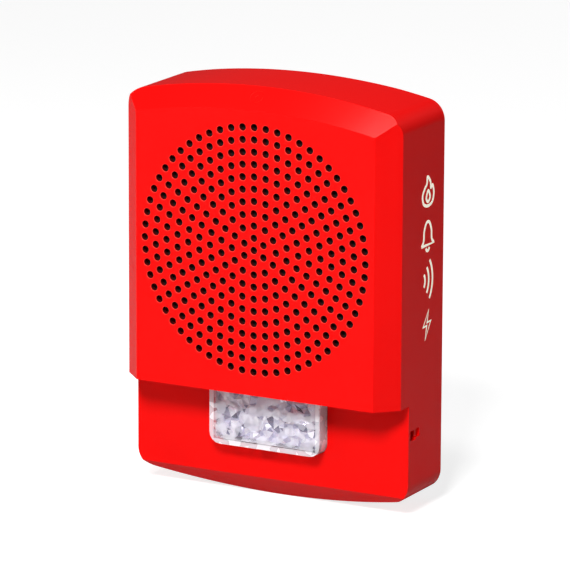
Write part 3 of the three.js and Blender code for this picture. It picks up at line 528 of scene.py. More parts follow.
def copper_wire():
    f = Finish("enamelled_copper")
    turns = f.add(
        "ShaderNodeTexWave",
        {"wave_type": "BANDS", "bands_direction": "Y"},
        {"Vector": f.place, "Scale": 900.0, "Distortion": 0.6, "Detail": 1.0},
    )
    # Painted shade and highlight: the winding is darker in the grooves between turns and lighter on their
    # crests, in step with the bump.
    base = f.blend(turns, colour(0.28, 0.09, 0.03), colour(0.72, 0.30, 0.13))
    ridges = f.bump(turns, 0.8, 0.1 * MM)
    return f.done(Base_Color=base, Metallic=0.9, Roughness=0.28 + turns * 0.1, Normal=ridges)


zinc = zinc_plate()
dark_steel = painted_steel()
brass = brass_strip()
copper = copper_wire()

# %% [markdown]
# Moulded plastics and the other inner materials: a black chassis with a spark-eroded grain, ivory
# terminal plastic, the green board with its copper tracks under the mask, cloth, foam, pulp and ferrite.

# %% Plastics, board, cloth and foam


def moulded(name, dark, light, rough, grain_scale=2600.0, depth=0.03):
    f = Finish(name)
    grain = f.noise(grain_scale, 3.0, 0.6)
    tone = f.noise(40.0, 3.0)
    worn = f.attribute("edge")
    base = f.blend(tone, dark, light)
    rubbed = f.blend(worn * 0.25, base, light)
    roughness = rough + grain * 0.12 - worn * 0.05
    return f.done(Base_Color=rubbed, Roughness=roughness, Normal=f.bump(grain, 0.3, depth * MM))


def circuit_board():
    f = Finish("solder_mask")
    tracks = f.cells(330.0, "DISTANCE_TO_EDGE", randomness=0.35) < 0.09
    weave = f.noise(2400.0, 1.0)
    mask = f.blend(weave, colour(0.006, 0.075, 0.032), colour(0.010, 0.11, 0.05))
    base = f.blend(tracks * 0.7, mask, colour(0.05, 0.20, 0.07))
    return f.done(Base_Color=base, Roughness=0.28 + weave * 0.1, Normal=f.bump(tracks, 0.4, 0.04 * MM))


def woven(name, dark, light, pitch):
    f = Finish(name)
    x, y, z = f.split(f.place)
    turns = math.tau / pitch
    thread = (x * turns).math("SINE") * (z * turns).math("SINE")
    lint = f.noise(500.0, 3.0)
    base = f.blend(thread * 0.5 + 0.5, dark, light)
    fuzzy = f.blend(lint * 0.4, base, light)
    return f.done(Base_Color=fuzzy, Roughness=0.95, Normal=f.bump(thread, 0.8, 0.15 * MM))


def mottled(name, dark, light, scale, rough, depth):
    f = Finish(name)
    lumps = f.noise(scale, 5.0, 0.65)
    base = f.blend(lumps, dark, light)
    return f.done(Base_Color=base, Roughness=rough + lumps * 0.08, Normal=f.bump(lumps, 0.6, depth * MM))


black_plastic = moulded("black_plastic", colour(0.008, 0.008, 0.009), colour(0.028, 0.028, 0.03), 0.42)
ivory_plastic = moulded("ivory_plastic", colour(0.62, 0.57, 0.44), colour(0.80, 0.76, 0.63), 0.40)
board_green = circuit_board()
scrim_cloth = woven("scrim_cloth", colour(0.002, 0.002, 0.002), colour(0.012, 0.011, 0.011), 0.5 * MM)
spider_cloth = woven("spider_cloth", colour(0.22, 0.13, 0.04), colour(0.42, 0.28, 0.10), 0.7 * MM)
foam = mottled("edge_foam", colour(0.010, 0.010, 0.010), colour(0.04, 0.04, 0.04), 1800.0, 0.85, 0.12)
pulp = mottled("pressed_pulp", colour(0.012, 0.011, 0.010), colour(0.05, 0.048, 0.045), 900.0, 0.8, 0.1)
ferrite = mottled("ferrite", colour(0.014, 0.014, 0.016), colour(0.05, 0.05, 0.055), 1200.0, 0.6, 0.05)
sleeve = moulded("shrink_sleeve", colour(0.008, 0.014, 0.035), colour(0.015, 0.03, 0.07), 0.22, 500.0, 0.02)
red_lead = moulded("red_insulation", colour(0.42, 0.01, 0.01), colour(0.55, 0.02, 0.02), 0.35, 900.0)
black_lead = moulded("black_insulation", colour(0.006, 0.006, 0.007), colour(0.02, 0.02, 0.022), 0.35, 900.0)
phosphor = moulded("phosphor", colour(0.80, 0.66, 0.12), colour(0.92, 0.84, 0.30), 0.35, 4000.0)
print("finishes:", len(bpy.data.materials))

# %% [markdown]
# ## Turning the frame's solids into finished pieces
#
# The loaded solids have perfectly sharp edges, and no moulded or stamped edge is sharp. For each plain
# part a copy of its mesh is merged, its flat faces are joined into single polygons, and a small bevel is
# put on every hard edge. The strip that the bevel makes is marked in an attribute called edge, which the
# finishes read to wear the edges, and which the lens reads for its painted highlight on the rims. Shading
# is smooth over round surfaces and sharp where it should be.

# %% Which finish and which body each node has
MATERIAL_OF_SLOT = {
    "red_cover": red,
    "lens": clear,
    "reflector": facets_finish,
    "emitter": phosphor,
    "black_plastic": black_plastic,
    "ivory_plastic": ivory_plastic,
    "zinc_plate": zinc,
    "dark_steel": dark_steel,
    "contact_brass": brass,
    "ferrite": ferrite,
    "cloth": scrim_cloth,
    "foam": foam,
    "paper": pulp,
    "copper": copper,
    "board": board_green,
    "sleeve": sleeve,
    "red_lead": red_lead,
    "black_lead": black_lead,
}
slot_of = {entry["node"]: entry["material_slot"] for entry in frame["record"]["subparts"]}
body_of = {node: body for body, nodes in frame["record"]["behaviour"]["bodies"].items() for node in nodes}
print("slots in use:", len(set(slot_of.values())), "of", len(MATERIAL_OF_SLOT))

# %% [markdown]
# A modifier is a recipe that stays live. Taking the evaluated mesh and dropping the modifier keeps only its
# result, so that the next step starts from a plain mesh, and so does the export.

# %% Turn modifiers into plain meshes


def new_object(name, mesh):
    made = bpy.data.objects.new(name, mesh)
    bpy.context.scene.collection.objects.link(made)
    return made


def evaluated(piece):
    """The mesh of a piece with its modifiers applied, as a plain new mesh."""
    graph = bpy.context.evaluated_depsgraph_get()
    graph.update()
    return bpy.data.meshes.new_from_object(piece.evaluated_get(graph))


def bake_modifiers(piece):
    finished = evaluated(piece)
    piece.modifiers.clear()
    piece.data = finished
    return piece


# %% [markdown]
# A Bevel modifier with an angle limit rounds only the hard edges. The strips that it leaves are then found
# by their shape: a patch of faces that lie nearly in one plane is a strip when its area is small for the
# length of its rim. Weighted normals keep the flat faces flat beside the rounded edges.

# %% Round, mark and shade a piece


def soften(piece, width, segments=2, angle=35.0):
    """Rounds the hard edges of a piece."""
    rounding = piece.modifiers.new("rounding", "BEVEL")
    rounding.width = width
    rounding.segments = segments
    rounding.limit_method = "ANGLE"
    rounding.angle_limit = math.radians(angle)
    rounding.use_clamp_overlap = True
    rounding.miter_outer = "MITER_ARC"
    bake_modifiers(piece)


def mark_edges(mesh, widest=0.55 * MM, flat=math.radians(1.5)):
    """Gives every face 1 where it belongs to a narrow strip round an edge, and 0 elsewhere."""
    work = bmesh.new()
    work.from_mesh(mesh)
    layer = work.faces.layers.float.new("edge")
    seen = set()
    for seed in work.faces:
        if seed in seen:
            continue
        seen.add(seed)
        patch, area, rim = [seed], 0.0, 0.0
        for face in patch:
            area += face.calc_area()
            for edge in face.edges:
                if len(edge.link_faces) != 2 or edge.calc_face_angle(0.0) > flat:
                    rim += edge.calc_length()
                    continue
                for other in edge.link_faces:
                    if other not in seen:
                        seen.add(other)
                        patch.append(other)
        narrow = float(2 * area < widest * rim)
        for face in patch:
            face[layer] = narrow
    work.to_mesh(mesh)
    work.free()


def shade(piece, angle=38.0):
    """Smooth over round surfaces, sharp at real corners, with flat faces kept flat."""
    mesh = piece.data
    mesh.polygons.foreach_set("use_smooth", [True] * len(mesh.polygons))
    mesh.set_sharp_from_angle(angle=math.radians(angle))
    weights = piece.modifiers.new("weights", "WEIGHTED_NORMAL")
    weights.keep_sharp = True
    weights.weight = 80
    bake_modifiers(piece)


# %% [markdown]
# A finished piece takes the place of its solid: it gets the finish of the solid's slot, rides on the same
# body, and hides the solid. The solid's own mesh is loose triangles, so a copy of it is merged first.

# %% Put a finished piece in the place of its solid


def use_finish(piece, finish):
    piece.data.materials.clear()
    piece.data.materials.append(finish)


def stand_for(piece, *nodes, finish=None):
    """Puts a finished piece in the place of nodes of one body."""
    slot = slot_of[nodes[0]]
    use_finish(piece, finish or MATERIAL_OF_SLOT[slot])
    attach(piece, body_of[nodes[0]])
    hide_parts(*nodes)


def join_flats(work, angle):
    """Makes one polygon of neighbours that lie within angle degrees of one plane."""
    limit = math.radians(angle)
    bmesh.ops.dissolve_limit(
        work, angle_limit=limit, use_dissolve_boundaries=False, verts=work.verts, edges=work.edges
    )


def merged_copy(node, name):
    """A copy of a node's mesh with its vertices merged and its flat faces joined."""
    mesh = frame["nodes"][node].data.copy()
    work = bmesh.new()
    work.from_mesh(mesh)
    bmesh.ops.remove_doubles(work, verts=work.verts, dist=0.002 * MM)
    join_flats(work, 0.4)
    work.to_mesh(mesh)
    work.free()
    mesh.name = name
    return new_object(name, mesh)


def refine(node, width, finish=None, segments=2):
    piece = merged_copy(node, "fine_" + node)
    soften(piece, width * MM, segments)
    mark_edges(piece.data)
    shade(piece)
    stand_for(piece, node, finish=finish)
    return piece


# %% [markdown]
# ## The cover
#
# The cover is one moulding. Its shape is a few simple solids joined and cut: a body with the crowned
# outline, met by a front panel whose edges slope back at 45 degrees, with a lower panel set back under a
# brow. Booleans between such solids give exact edges, and a bevel then rounds them. Doing the rounding
# before the holes are cut keeps it clean.

# %% Outlines as lists of points


def arc(x, z, radius, start, end, steps):
    turn = (end - start) / steps
    return [
        (x + radius * math.cos(start + turn * i), z + radius * math.sin(start + turn * i))
        for i in range(steps + 1)
    ]


def cover_outline(inset):
    """The outline seen from the front, anticlockwise, moved in by inset."""
    half = half_width - inset
    corner = max(corner_radius - inset, 1 * MM)
    right = []
    for radius, side in ((bottom_radius, -1), (top_radius, 1)):
        crowned = radius - inset
        centre_z = side * (crown - radius)
        reach = math.sqrt((crowned - corner) ** 2 - (half - corner) ** 2)
        lean = math.atan2(reach, half - corner)
        rounded = arc(half - corner, centre_z + side * reach, corner, 0, side * lean, 9)
        crest = arc(0, centre_z, crowned, side * lean, side * math.pi / 2, 14)
        quarter = rounded + crest[1:]
        right += reversed(quarter) if side < 0 else quarter
    left = [(-x, z) for x, z in reversed(right[1:-1])]
    return right + left


def panel_outline(grow):
    """The flat of the sounder panel, grown by grow; its sides run on below the brow."""
    radius = top_radius - bevel + grow
    half = half_width - bevel + grow
    lean = math.acos(half / radius)
    crest = arc(0, crown - top_radius, radius, lean, math.pi - lean, 28)
    return [(half, -2 * crown), *crest, (-half, -2 * crown)]


# %% [markdown]
# A loft joins rings of points that lie at different depths, with a cap at each end. Every solid of the
# cover is such a loft, so one helper makes them all.

# %% Lofted solids and booleans


def loft(name, rings):
    """A closed solid through rings of (depth, outline), from front to back."""
    work = bmesh.new()
    loops = [[work.verts.new((x, y, z)) for x, z in outline] for y, outline in rings]
    count = len(loops[0])
    for front, back in zip(loops, loops[1:]):
        for i in range(count):
            j = (i + 1) % count
            work.faces.new((front[i], front[j], back[j], back[i]))
    work.faces.new(loops[0])
    work.faces.new(list(reversed(loops[-1])))
    bmesh.ops.recalc_face_normals(work, faces=work.faces)
    mesh = bpy.data.meshes.new(name)
    work.to_mesh(mesh)
    work.free()
    return new_object(name, mesh)


def box_solid(name, low, high):
    outline = [(low[0], low[2]), (high[0], low[2]), (high[0], high[2]), (low[0], high[2])]
    return loft(name, [(low[1], outline), (high[1], outline)])


def combine(base, tool, operation):
    """Joins, cuts or intersects base with tool, and removes tool."""
    change = base.modifiers.new("change", "BOOLEAN")
    change.operation = operation
    change.solver = "MANIFOLD"
    change.object = tool
    bake_modifiers(base)
    bpy.data.objects.remove(tool)
    return base


# %% [markdown]
# The cover's two bodies are each the outline cut by a second solid. The hollow inside is made the same way
# from outlines moved in by the wall. Where a slope meets a flat at 45 degrees, a wall of even thickness
# shifts their corner by the wall times the square root of 2 less 1.

# %% The cover's body and its hollow
overshoot = 2 * MM
reach_back = 60 * MM
hollow_back = 1 * MM
aside = 1.2 * half_width


def tidy_faces(piece):
    work = bmesh.new()
    work.from_mesh(piece.data)
    bmesh.ops.remove_doubles(work, verts=work.verts, dist=0.003 * MM)
    join_flats(work, 0.25)
    work.to_mesh(piece.data)
    work.free()


def upper_body(name, inset, shift, back):
    """The sounder's part of the cover: the outline behind a panel with sloped edges, down to the brow."""
    start = front_y + inset
    slope = bevel - inset + shift
    sloped = panel_outline(slope - shift)
    rings = [(start, panel_outline(-shift)), (start + slope, sloped), (start + reach_back, sloped)]
    outline = cover_outline(inset)
    body = loft(name, [(start - overshoot, outline), (back, outline)])
    combine(body, loft("panel_tool", rings), "INTERSECT")
    low_corner = (-aside, front_y - wall, brow_z + inset)
    return combine(body, box_solid("brow_tool", low_corner, (aside, 2 * wall, 2 * crown)), "INTERSECT")


def lower_body(inset, shift, back):
    """The strobe's part of the cover: the outline behind the set-back face, with the sloped chin."""
    start = panel_y + inset
    run = 2 * chin_height

    def everything_above(low):
        return [(-aside, low), (aside, low), (aside, 2 * crown), (-aside, 2 * crown)]

    flat = everything_above(chin_z + shift)
    sloped = everything_above(chin_z + shift - run)
    rings = [(start, flat), (start + run, sloped), (front_y + inset + reach_back, sloped)]
    outline = cover_outline(inset)
    body = loft("lower_body", [(start - overshoot, outline), (back, outline)])
    return combine(body, loft("chin_tool", rings), "INTERSECT")


def cover_solid(name, inset):
    """The cover's outer body, or the hollow inside its wall when inset is the wall."""
    back = hollow_back if inset else rear_y
    shift = inset * (math.sqrt(2) - 1)
    body = upper_body(name, inset, shift, back)
    combine(body, lower_body(inset, shift, back), "UNION")
    tidy_faces(body)
    return body


cover = cover_solid("cover", 0.0)
soften(cover, edge_radius, 3, 22.0)
print("outer body:", len(cover.data.vertices), "vertices after rounding")
combine(cover, cover_solid("hollow", wall), "DIFFERENCE")
print("cover shell:", len(cover.data.vertices), "vertices")

# %% [markdown]
# ### Bosses inside the cover
#
# The screws of the loudspeaker and of the chassis bite into bosses that stand on the cover's inner face. A
# boss is a rod joined to the wall and then bored. Each is placed by measuring the screw that goes into it.

# %% Add the bosses


def rod(name, x, z, profile, sides=24):
    """A solid turned about a line along Y, from its (depth, radius) pairs."""
    around = [math.tau * i / sides for i in range(sides)]
    rings = [(y, [(x + r * math.cos(a), z + r * math.sin(a)) for a in around]) for y, r in profile]
    return loft(name, rings)


def middle(node):
    low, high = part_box(node)
    return (low + high) / 2


speaker_screws = [f"speaker_screw_{i}" for i in range(1, 5)]
chassis_screws = [f"chassis_screw_{i}" for i in range(1, 5)]
inner_front = front_y + wall
fit = 0.3 * MM
sink = 1.2 * MM
seat_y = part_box("speaker_basket")[0].y - fit
chassis_floor_y = -5.5 * MM
chassis_face_y = chassis_floor_y - fit
speaker_boss, speaker_bore = 4 * MM, 1.7 * MM
chassis_boss, chassis_bore, chassis_bore_depth = 3.5 * MM, 1.8 * MM, 6.2 * MM


def add_boss(screw, boss_from, boss_to, boss_radius, bore_from, bore_radius):
    """A round boss on the inner face for one screw, and the bore that the screw bites into."""
    place = middle(screw)
    boss = rod("boss", place.x, place.z, [(boss_from, boss_radius), (boss_to, boss_radius)])
    combine(cover, boss, "UNION")
    bore = rod("bore", place.x, place.z, [(bore_from, bore_radius), (0, bore_radius)])
    combine(cover, bore, "DIFFERENCE")


for name in speaker_screws:
    add_boss(name, front_y + sink, seat_y, speaker_boss, inner_front + sink / 2, speaker_bore)
for name in chassis_screws:
    start = inner_front if middle(name).z > 0 else panel_y + wall
    bore_start = chassis_face_y - chassis_bore_depth
    add_boss(name, start - sink, chassis_face_y, chassis_boss, bore_start, chassis_bore)
print("bosses:", len(speaker_screws) + len(chassis_screws))

# %% [markdown]
# The gasket sits in a moulded ring, the lens hangs on four pins, and a pad at the foot takes the lock
# screw. All of them grow out of the inner face, so each starts inside the wall and is joined to it.

# %% Add the gasket ring, the lens pins and the lock's pad
gasket_low, gasket_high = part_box("speaker_gasket")
board_back_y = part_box("strobe_board")[1].y
bracket_bottom_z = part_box("lock_bracket")[0].z
root = 1 * MM
ring_outer = gasket_high.x + 1.2 * MM
ring_inner = ring_outer - 1.4 * MM
ring_profile = [(front_y + root, ring_outer), (gasket_low.y - fit, ring_outer)]
seat_ring = rod("seat_ring", 0, grille_z, ring_profile, 72)
combine(seat_ring, rod("ring_bore", 0, grille_z, [(front_y, ring_inner), (0, ring_inner)], 72), "DIFFERENCE")
combine(cover, seat_ring, "UNION")
pin_x = lens_half + lens_flange / 2
pin_radius = 1.1 * MM
pin_profile = [(panel_y + root, pin_radius), (board_back_y + 0.8 * MM, pin_radius)]
for x in (-pin_x, pin_x):
    for z in (brow_z - 7.3 * MM, lens_bottom + 5 * MM):
        combine(cover, rod("pin", x, z, pin_profile, 16), "UNION")
screw_axis = middle("lock_screw")
pad_half = 6 * MM
pad_low = (-pad_half, screw_axis.y - pad_half, -crown + root)
pad_high = (pad_half, screw_axis.y + pad_half, bracket_bottom_z - root)
combine(cover, box_solid("pad", pad_low, pad_high), "UNION")
print("lens pins at", round(1000 * pin_x, 1), "mm to each side")

# %% [markdown]
# ### The grille
#
# The grille is a centre hole with rings of 6, 12, 18 and so on around it, all the same distance apart.
# Geometry Nodes suit this: a line of points is numbered, and two formulas turn the number into a ring
# and an angle. Each point gets a cutter with a flared mouth, so that the hole has a rounded rim, and one
# boolean cuts them all.

# %% A Geometry Nodes tree with named inputs


def geometry_tree(name, inputs):
    """A tree with a Geometry output and the given (name, kind, value) inputs."""
    tree = bpy.data.node_groups.new(name, "GeometryNodeTree")
    tree.interface.new_socket("Geometry", in_out="OUTPUT", socket_type="NodeSocketGeometry")
    for label, kind, value in inputs:
        item = tree.interface.new_socket(label, in_out="INPUT", socket_type="NodeSocket" + kind)
        if value is not None:
            item.default_value = value
    graph = Graph(tree)
    entry = tree.nodes.new("NodeGroupInput")
    given = {label: Value(graph, entry.outputs[label]) for label, kind, value in inputs}
    return graph, given


def finish_tree(graph, geometry, material):
    whole = graph.add("GeometryNodeRealizeInstances", None, {"Geometry": geometry})
    dressed = graph.add("GeometryNodeSetMaterial", None, {"Geometry": whole, "Material": material})
    graph.add("NodeGroupOutput", None, {0: dressed})


def grow(name, graph, **values):
    """A plain mesh object made by a tree, with its inputs set by socket identifier."""
    piece = new_object(name, bpy.data.meshes.new(name))
    nodes = piece.modifiers.new("nodes", "NODES")
    nodes.node_group = graph.tree
    for label, value in values.items():
        item = graph.tree.interface.items_tree[label.replace("_", " ")]
        nodes[item.identifier] = value
    return bake_modifiers(piece)


# %% [markdown]
# Ring n holds 6n holes, so the rings inside it hold 1 + 3n(n - 1). Turned round, that formula gives the
# ring of hole number i as a square root, rounded up, and the hole's place in its ring then gives the angle.

# %% Cut the grille
hole_radius = 1.48 * MM
rim_radius = 0.2 * MM
hole_count = 1 + 3 * hole_rings * (hole_rings + 1)


def flared(steps=4):
    """Depth and radius of a hole whose mouth is rounded, from in front of the face to inside."""
    profile = [(-1 * MM, hole_radius + rim_radius)]
    for i in range(steps + 1):
        turn = 0.5 * math.pi * i / steps
        profile.append((rim_radius * (1 - math.cos(turn)), hole_radius + rim_radius * (1 - math.sin(turn))))
    profile.append((wall + 1 * MM, hole_radius))
    return profile


def grille_tree():
    graph, given = geometry_tree(
        "grille_cutters",
        [
            ("Count", "Int", hole_count),
            ("Pitch", "Float", hole_pitch),
            ("Cutter", "Object", None),
            ("Material", "Material", None),
        ],
    )
    line = graph.add("GeometryNodeMeshLine", None, {"Count": given["Count"]})
    number = graph.add("GeometryNodeInputIndex")
    ring = ((number * 12.0 + 9.0).math("SQRT") - 3.0) / 6.0
    ring = (ring - 0.0001).math("CEIL")
    first = ring * (ring - 1.0) * 3.0 + 1.0
    share = (number - first) / (ring * 6.0).math("MAXIMUM", 1.0)
    angle = share * math.tau + math.pi / 2
    reach = ring * given["Pitch"]
    place = graph.add(
        "ShaderNodeCombineXYZ", None, {0: angle.math("COSINE") * reach, 2: angle.math("SINE") * reach}
    )
    points = graph.add("GeometryNodeSetPosition", None, {"Geometry": line, "Position": place})
    shape = graph.add("GeometryNodeObjectInfo", None, {"Object": given["Cutter"]}, "Geometry")
    copies = graph.add("GeometryNodeInstanceOnPoints", None, {"Points": points, "Instance": shape})
    finish_tree(graph, copies, given["Material"])
    return graph


cutter = rod("hole_cutter", 0, 0, flared(), 20)
cutters = grow("grille_cutters", grille_tree(), Cutter=cutter, Material=red)
cutters.data.transform(Matrix.Translation((0, front_y, grille_z)))
bpy.data.objects.remove(cutter)
combine(cover, cutters, "DIFFERENCE")
print("grille:", hole_count, "holes, cover now", len(cover.data.polygons), "faces")

# %% [markdown]
# ### Openings
#
# The window for the lens and the pry notch near the bottom of each side are plain cuts. A notch is a deep
# slot for a tool, with a shallow scoop beside it that leads the tool in.

# %% Cut the window and the notches


def lens_outline(grow, top):
    """The lens seen from the front: square under the brow, round at its lower corners."""
    half = lens_half + grow
    bottom = lens_bottom - grow
    corner = 4.5 * MM + grow
    right = arc(half - corner, bottom + corner, corner, -math.pi / 2, 0, 8)
    left = arc(-half + corner, bottom + corner, corner, -math.pi, -math.pi / 2, 8)
    return [*right, (half, top), (-half, top), *left]


window = lens_outline(fit, brow_z)
window_rings = [(panel_y - 1 * MM, window), (panel_y + wall + 0.5 * MM, window)]
combine(cover, loft("window", window_rings), "DIFFERENCE")
notch_z = grille_z - 70.6 * MM
notch_y = panel_y + 1.6 * MM
clear_of_wall = 1 * MM


def side_cut(name, side, depth, run, below, above):
    """Cuts a box into one side wall, by depth, from notch_y back by run."""
    outer = side * (half_width + clear_of_wall)
    inner = side * (half_width - depth)
    low = (min(inner, outer), notch_y, notch_z - below)
    high = (max(inner, outer), notch_y + run, notch_z + above)
    combine(cover, box_solid(name, low, high), "DIFFERENCE")


for side in (-1, 1):
    side_cut("slot", side, wall + clear_of_wall, 4.4 * MM, 1.8 * MM, 1.8 * MM)
    side_cut("scoop", side, 0.8 * MM, 7.5 * MM, 1 * MM, 2.4 * MM)

# %% [markdown]
# The captive screw's head sits in a pocket under the chin, and its shank runs up through the pad. Both are
# rods that stand upright, so they are made about Y like the others and then turned about X.

# %% Cut the screw's pocket


def turned_rod(name, place, turn, profile, sides):
    """A rod about Y that is first turned about X and then moved to its place."""
    piece = rod(name, 0, 0, profile, sides)
    piece.data.transform(Matrix.Translation(place) @ Matrix.Rotation(turn, 4, "X"))
    return piece


upright = -math.pi / 2
pocket_place = (0, screw_axis.y, 0)
pocket_depth = 2.8 * MM
below = crown + 1 * MM
pocket = [(crown - pocket_depth, 4.2 * MM), (below, 4.2 * MM)]
shank = [(crown - pocket_depth - 6 * MM, 2.3 * MM), (below, 2.3 * MM)]
combine(cover, turned_rod("head_pocket", pocket_place, upright, pocket, 40), "DIFFERENCE")
combine(cover, turned_rod("shank_hole", pocket_place, upright, shank, 32), "DIFFERENCE")
print("pocket:", round(1000 * pocket_depth, 1), "mm deep")

# %% [markdown]
# The cover swings out on two hooks near its top. Behind the crown a wedge is cut away above the pivot, a
# little steeper than the swing, so that the cover clears the wall. The frame's joint says where the pivot is.

# %% Cut the relief behind the crown
swing = next(j for j in frame["record"]["behaviour"]["joints"] if j["name"] == "appliance_swing")
pivot = Vector(swing["pos_m"])
relief_angle = math.radians(24)
relief_reach = 20 * MM
wedge_low = (-1, -pivot.y - 0.1 * MM, -relief_reach)
wedge = box_solid("wedge", wedge_low, (1, 2 * relief_reach, relief_reach))
wedge.data.transform(Matrix.Translation(pivot) @ Matrix.Rotation(relief_angle, 4, "X"))
combine(cover, wedge, "DIFFERENCE")
print("pivot is", round(1000 * pivot.z, 1), "mm above the middle")

# %% [markdown]
# A moulding carries a small round mark from its tool. Here it is a plain ring and a dot, sunk into the
# sloped edge at the top and turned to lie square on it. It is the last cut, so the cover's edges are marked
# and shaded after it, and the cover takes its place in the frame.

# %% Sink the mould mark and finish the cover
mark_place = Vector((-1 * MM, front_y + bevel * 0.55, crown - bevel * 0.45))
mark_turn = -math.pi / 4
mark_depth = 0.3 * MM
groove_profile = [(-1 * MM, 3.1 * MM), (mark_depth, 3.0 * MM)]
island_profile = [(-2 * MM, 2.3 * MM), (1 * MM, 2.4 * MM)]
dot_profile = [(-1 * MM, 0.9 * MM), (mark_depth, 0.8 * MM)]
groove = turned_rod("groove", mark_place, mark_turn, groove_profile, 40)
combine(groove, turned_rod("island", mark_place, mark_turn, island_profile, 40), "DIFFERENCE")
dot = turned_rod("dot", mark_place, mark_turn, dot_profile, 20)
combine(cover, groove, "DIFFERENCE")
combine(cover, dot, "DIFFERENCE")
mark_edges(cover.data)
shade(cover)
stand_for(cover, "front_cover")
print("cover:", len(cover.data.polygons), "faces")

# %% [markdown]
# ## Studio floor
#
# The object stands on a pale matt floor that runs out of sight. Part of what the camera sees of it is a
# glow that no other ray sees, told apart by the Light Path node, so that the floor looks nearly white
# without throwing its light up on the red.

# %% The floor
floor_half = 6.0
floor_gap = 0.2 * MM


def studio_floor():
    f = Finish("studio_floor")
    tone = f.noise(3.0, 2.0)
    base = f.blend(tone, colour(0.42, 0.42, 0.42), colour(0.45, 0.45, 0.45))
    seen = f.add("ShaderNodeLightPath")
    lit = f.blend(seen, colour(0.03, 0.03, 0.03), colour(0.78, 0.78, 0.78))
    finish = f.done(
        Base_Color=base, Roughness=0.9, Specular_IOR_Level=0.1, Emission_Color=lit, Emission_Strength=1.0
    )
    mesh = bpy.data.meshes.new("studio_floor")
    height = cad_box[0].z - floor_gap
    signs = ((-1, -1), (1, -1), (1, 1), (-1, 1))
    corners = [(x * floor_half, y * floor_half, height) for x, y in signs]
    mesh.from_pydata(corners, [], [(0, 1, 2, 3)])
    floor = new_object("studio_floor", mesh)
    use_finish(floor, finish)
    return floor


studio_floor()

# %% [markdown]
# ## Printed symbols
#
# Four line symbols in cream ink run down the right side: a flame, a bell, sound waves and a flash. Each
# is a few open or closed lines, drawn in a square one unit wide. A smooth curve through a few points draws
# the flame and the bell, so that only the points that the shape needs are written down.

# %% Smooth curves through a few points


def between(p, q, r, s, t):
    """The value at t on the smooth curve from q to r, whose neighbours are p and s."""
    bend = 2 * p - 5 * q + 4 * r - s
    twist = 3 * q - p - 3 * r + s
    return 0.5 * (2 * q + (r - p) * t + bend * t**2 + twist * t**3)


def smoothed(points, closed, steps=6):
    """A Catmull-Rom curve through the points, as more points."""
    count = len(points)
    spans = count if closed else count - 1
    line = []
    for i in range(spans):
        if closed:
            a, b, c, d = (points[(i + k) % count] for k in (-1, 0, 1, 2))
        else:
            a, b, c, d = (points[min(max(i + k, 0), count - 1)] for k in (-1, 0, 1, 2))
        for step in range(steps):
            line.append(tuple(between(*corner, step / steps) for corner in zip(a, b, c, d)))
    return line if closed else [*line, points[-1]]


# %% [markdown]
# Each symbol is a list of lines, and a line is its points and whether it is closed. The rim of the bell's
# clapper and the sound waves are arcs.

# %% The four symbols


def flame():
    outer = [(0, -0.5), (-0.32, -0.4), (-0.42, -0.12), (-0.26, 0.12), (-0.1, 0.26), (-0.06, 0.5), (0.16, 0.3)]
    outer += [(0.2, 0.08), (0.32, 0.16), (0.42, -0.1), (0.32, -0.4)]
    inner = [(0, -0.36), (-0.14, -0.22), (0, 0.02), (0.14, -0.2)]
    return [(smoothed(outer, True), True), (smoothed(inner, True), True)]


def bell():
    dome = [(-0.46, -0.3), (-0.3, -0.14), (-0.27, 0.15), (-0.14, 0.38), (0, 0.44), (0.14, 0.38), (0.27, 0.15)]
    dome += [(0.3, -0.14), (0.46, -0.3)]
    return [
        ([*smoothed(dome, False), (-0.46, -0.3)], False),
        (arc(0, -0.36, 0.13, math.pi * 1.08, math.pi * 1.92, 8), False),
    ]


def waves():
    return [(arc(-0.45, 0, reach, -0.75, 0.75, 12), False) for reach in (0.28, 0.56, 0.84)]


def flash():
    return [([(0.12, 0.5), (-0.28, -0.04), (0.0, -0.02), (-0.12, -0.5), (0.3, 0.1), (0.02, 0.08)], True)]


# %% [markdown]
# The symbols are laid on the wall one below the other, as one mesh of edges. Geometry Nodes sweep a small
# circle along the lines, and flattening the tubes towards the wall turns them into a thin film with soft
# edges. Each span is the top and the bottom of one symbol, in millimetres.

# %% Lay out and sweep the lines
stroke = 1.2
symbol_wide = 11.4 * MM
symbol_centre_y = -14.4 * MM
symbol_spans = ((51.0, 38.2), (33.9, 20.3), (16.7, 2.2), (-2.2, -14.8))


def symbol_lines():
    """One edge mesh with the four symbols on the right wall."""
    points, edges = [], []
    for shape, (high, low) in zip((flame, bell, waves, flash), symbol_spans):
        middle_z = (high + low) / 2 * MM
        tall = (high - low - stroke) * MM
        for line, closed in shape():
            start = len(points)
            points += [(half_width, symbol_centre_y + u * symbol_wide, middle_z + v * tall) for u, v in line]
            edges += [(i, i + 1) for i in range(start, len(points) - 1)]
            if closed:
                edges.append((len(points) - 1, start))
    mesh = bpy.data.meshes.new("symbol_lines")
    mesh.from_pydata(points, edges, [])
    return new_object("symbol_lines", mesh)


def stroke_tree():
    graph, given = geometry_tree(
        "printed_strokes",
        [
            ("Lines", "Object", None),
            ("Width", "Float", stroke * MM),
            ("Film", "Float", 0.08),
            ("Wall", "Float", half_width),
            ("Material", "Material", None),
        ],
    )
    lines = graph.add("GeometryNodeObjectInfo", None, {"Object": given["Lines"]}, "Geometry")
    curve = graph.add("GeometryNodeMeshToCurve", None, {"Mesh": lines})
    pen = {"Resolution": 12, "Radius": given["Width"] / 2}
    section = graph.add("GeometryNodeCurvePrimitiveCircle", None, pen)
    swept = {"Curve": curve, "Profile Curve": section, "Fill Caps": True}
    tube = graph.add("GeometryNodeCurveToMesh", None, swept)
    x, y, z = graph.split(graph.add("GeometryNodeInputPosition"))
    flat_x = given["Wall"] + (x - given["Wall"]) * given["Film"]
    flat = graph.add("ShaderNodeCombineXYZ", None, {0: flat_x, 1: y, 2: z})
    film = graph.add("GeometryNodeSetPosition", None, {"Geometry": tube, "Position": flat})
    finish_tree(graph, film, given["Material"])
    return graph


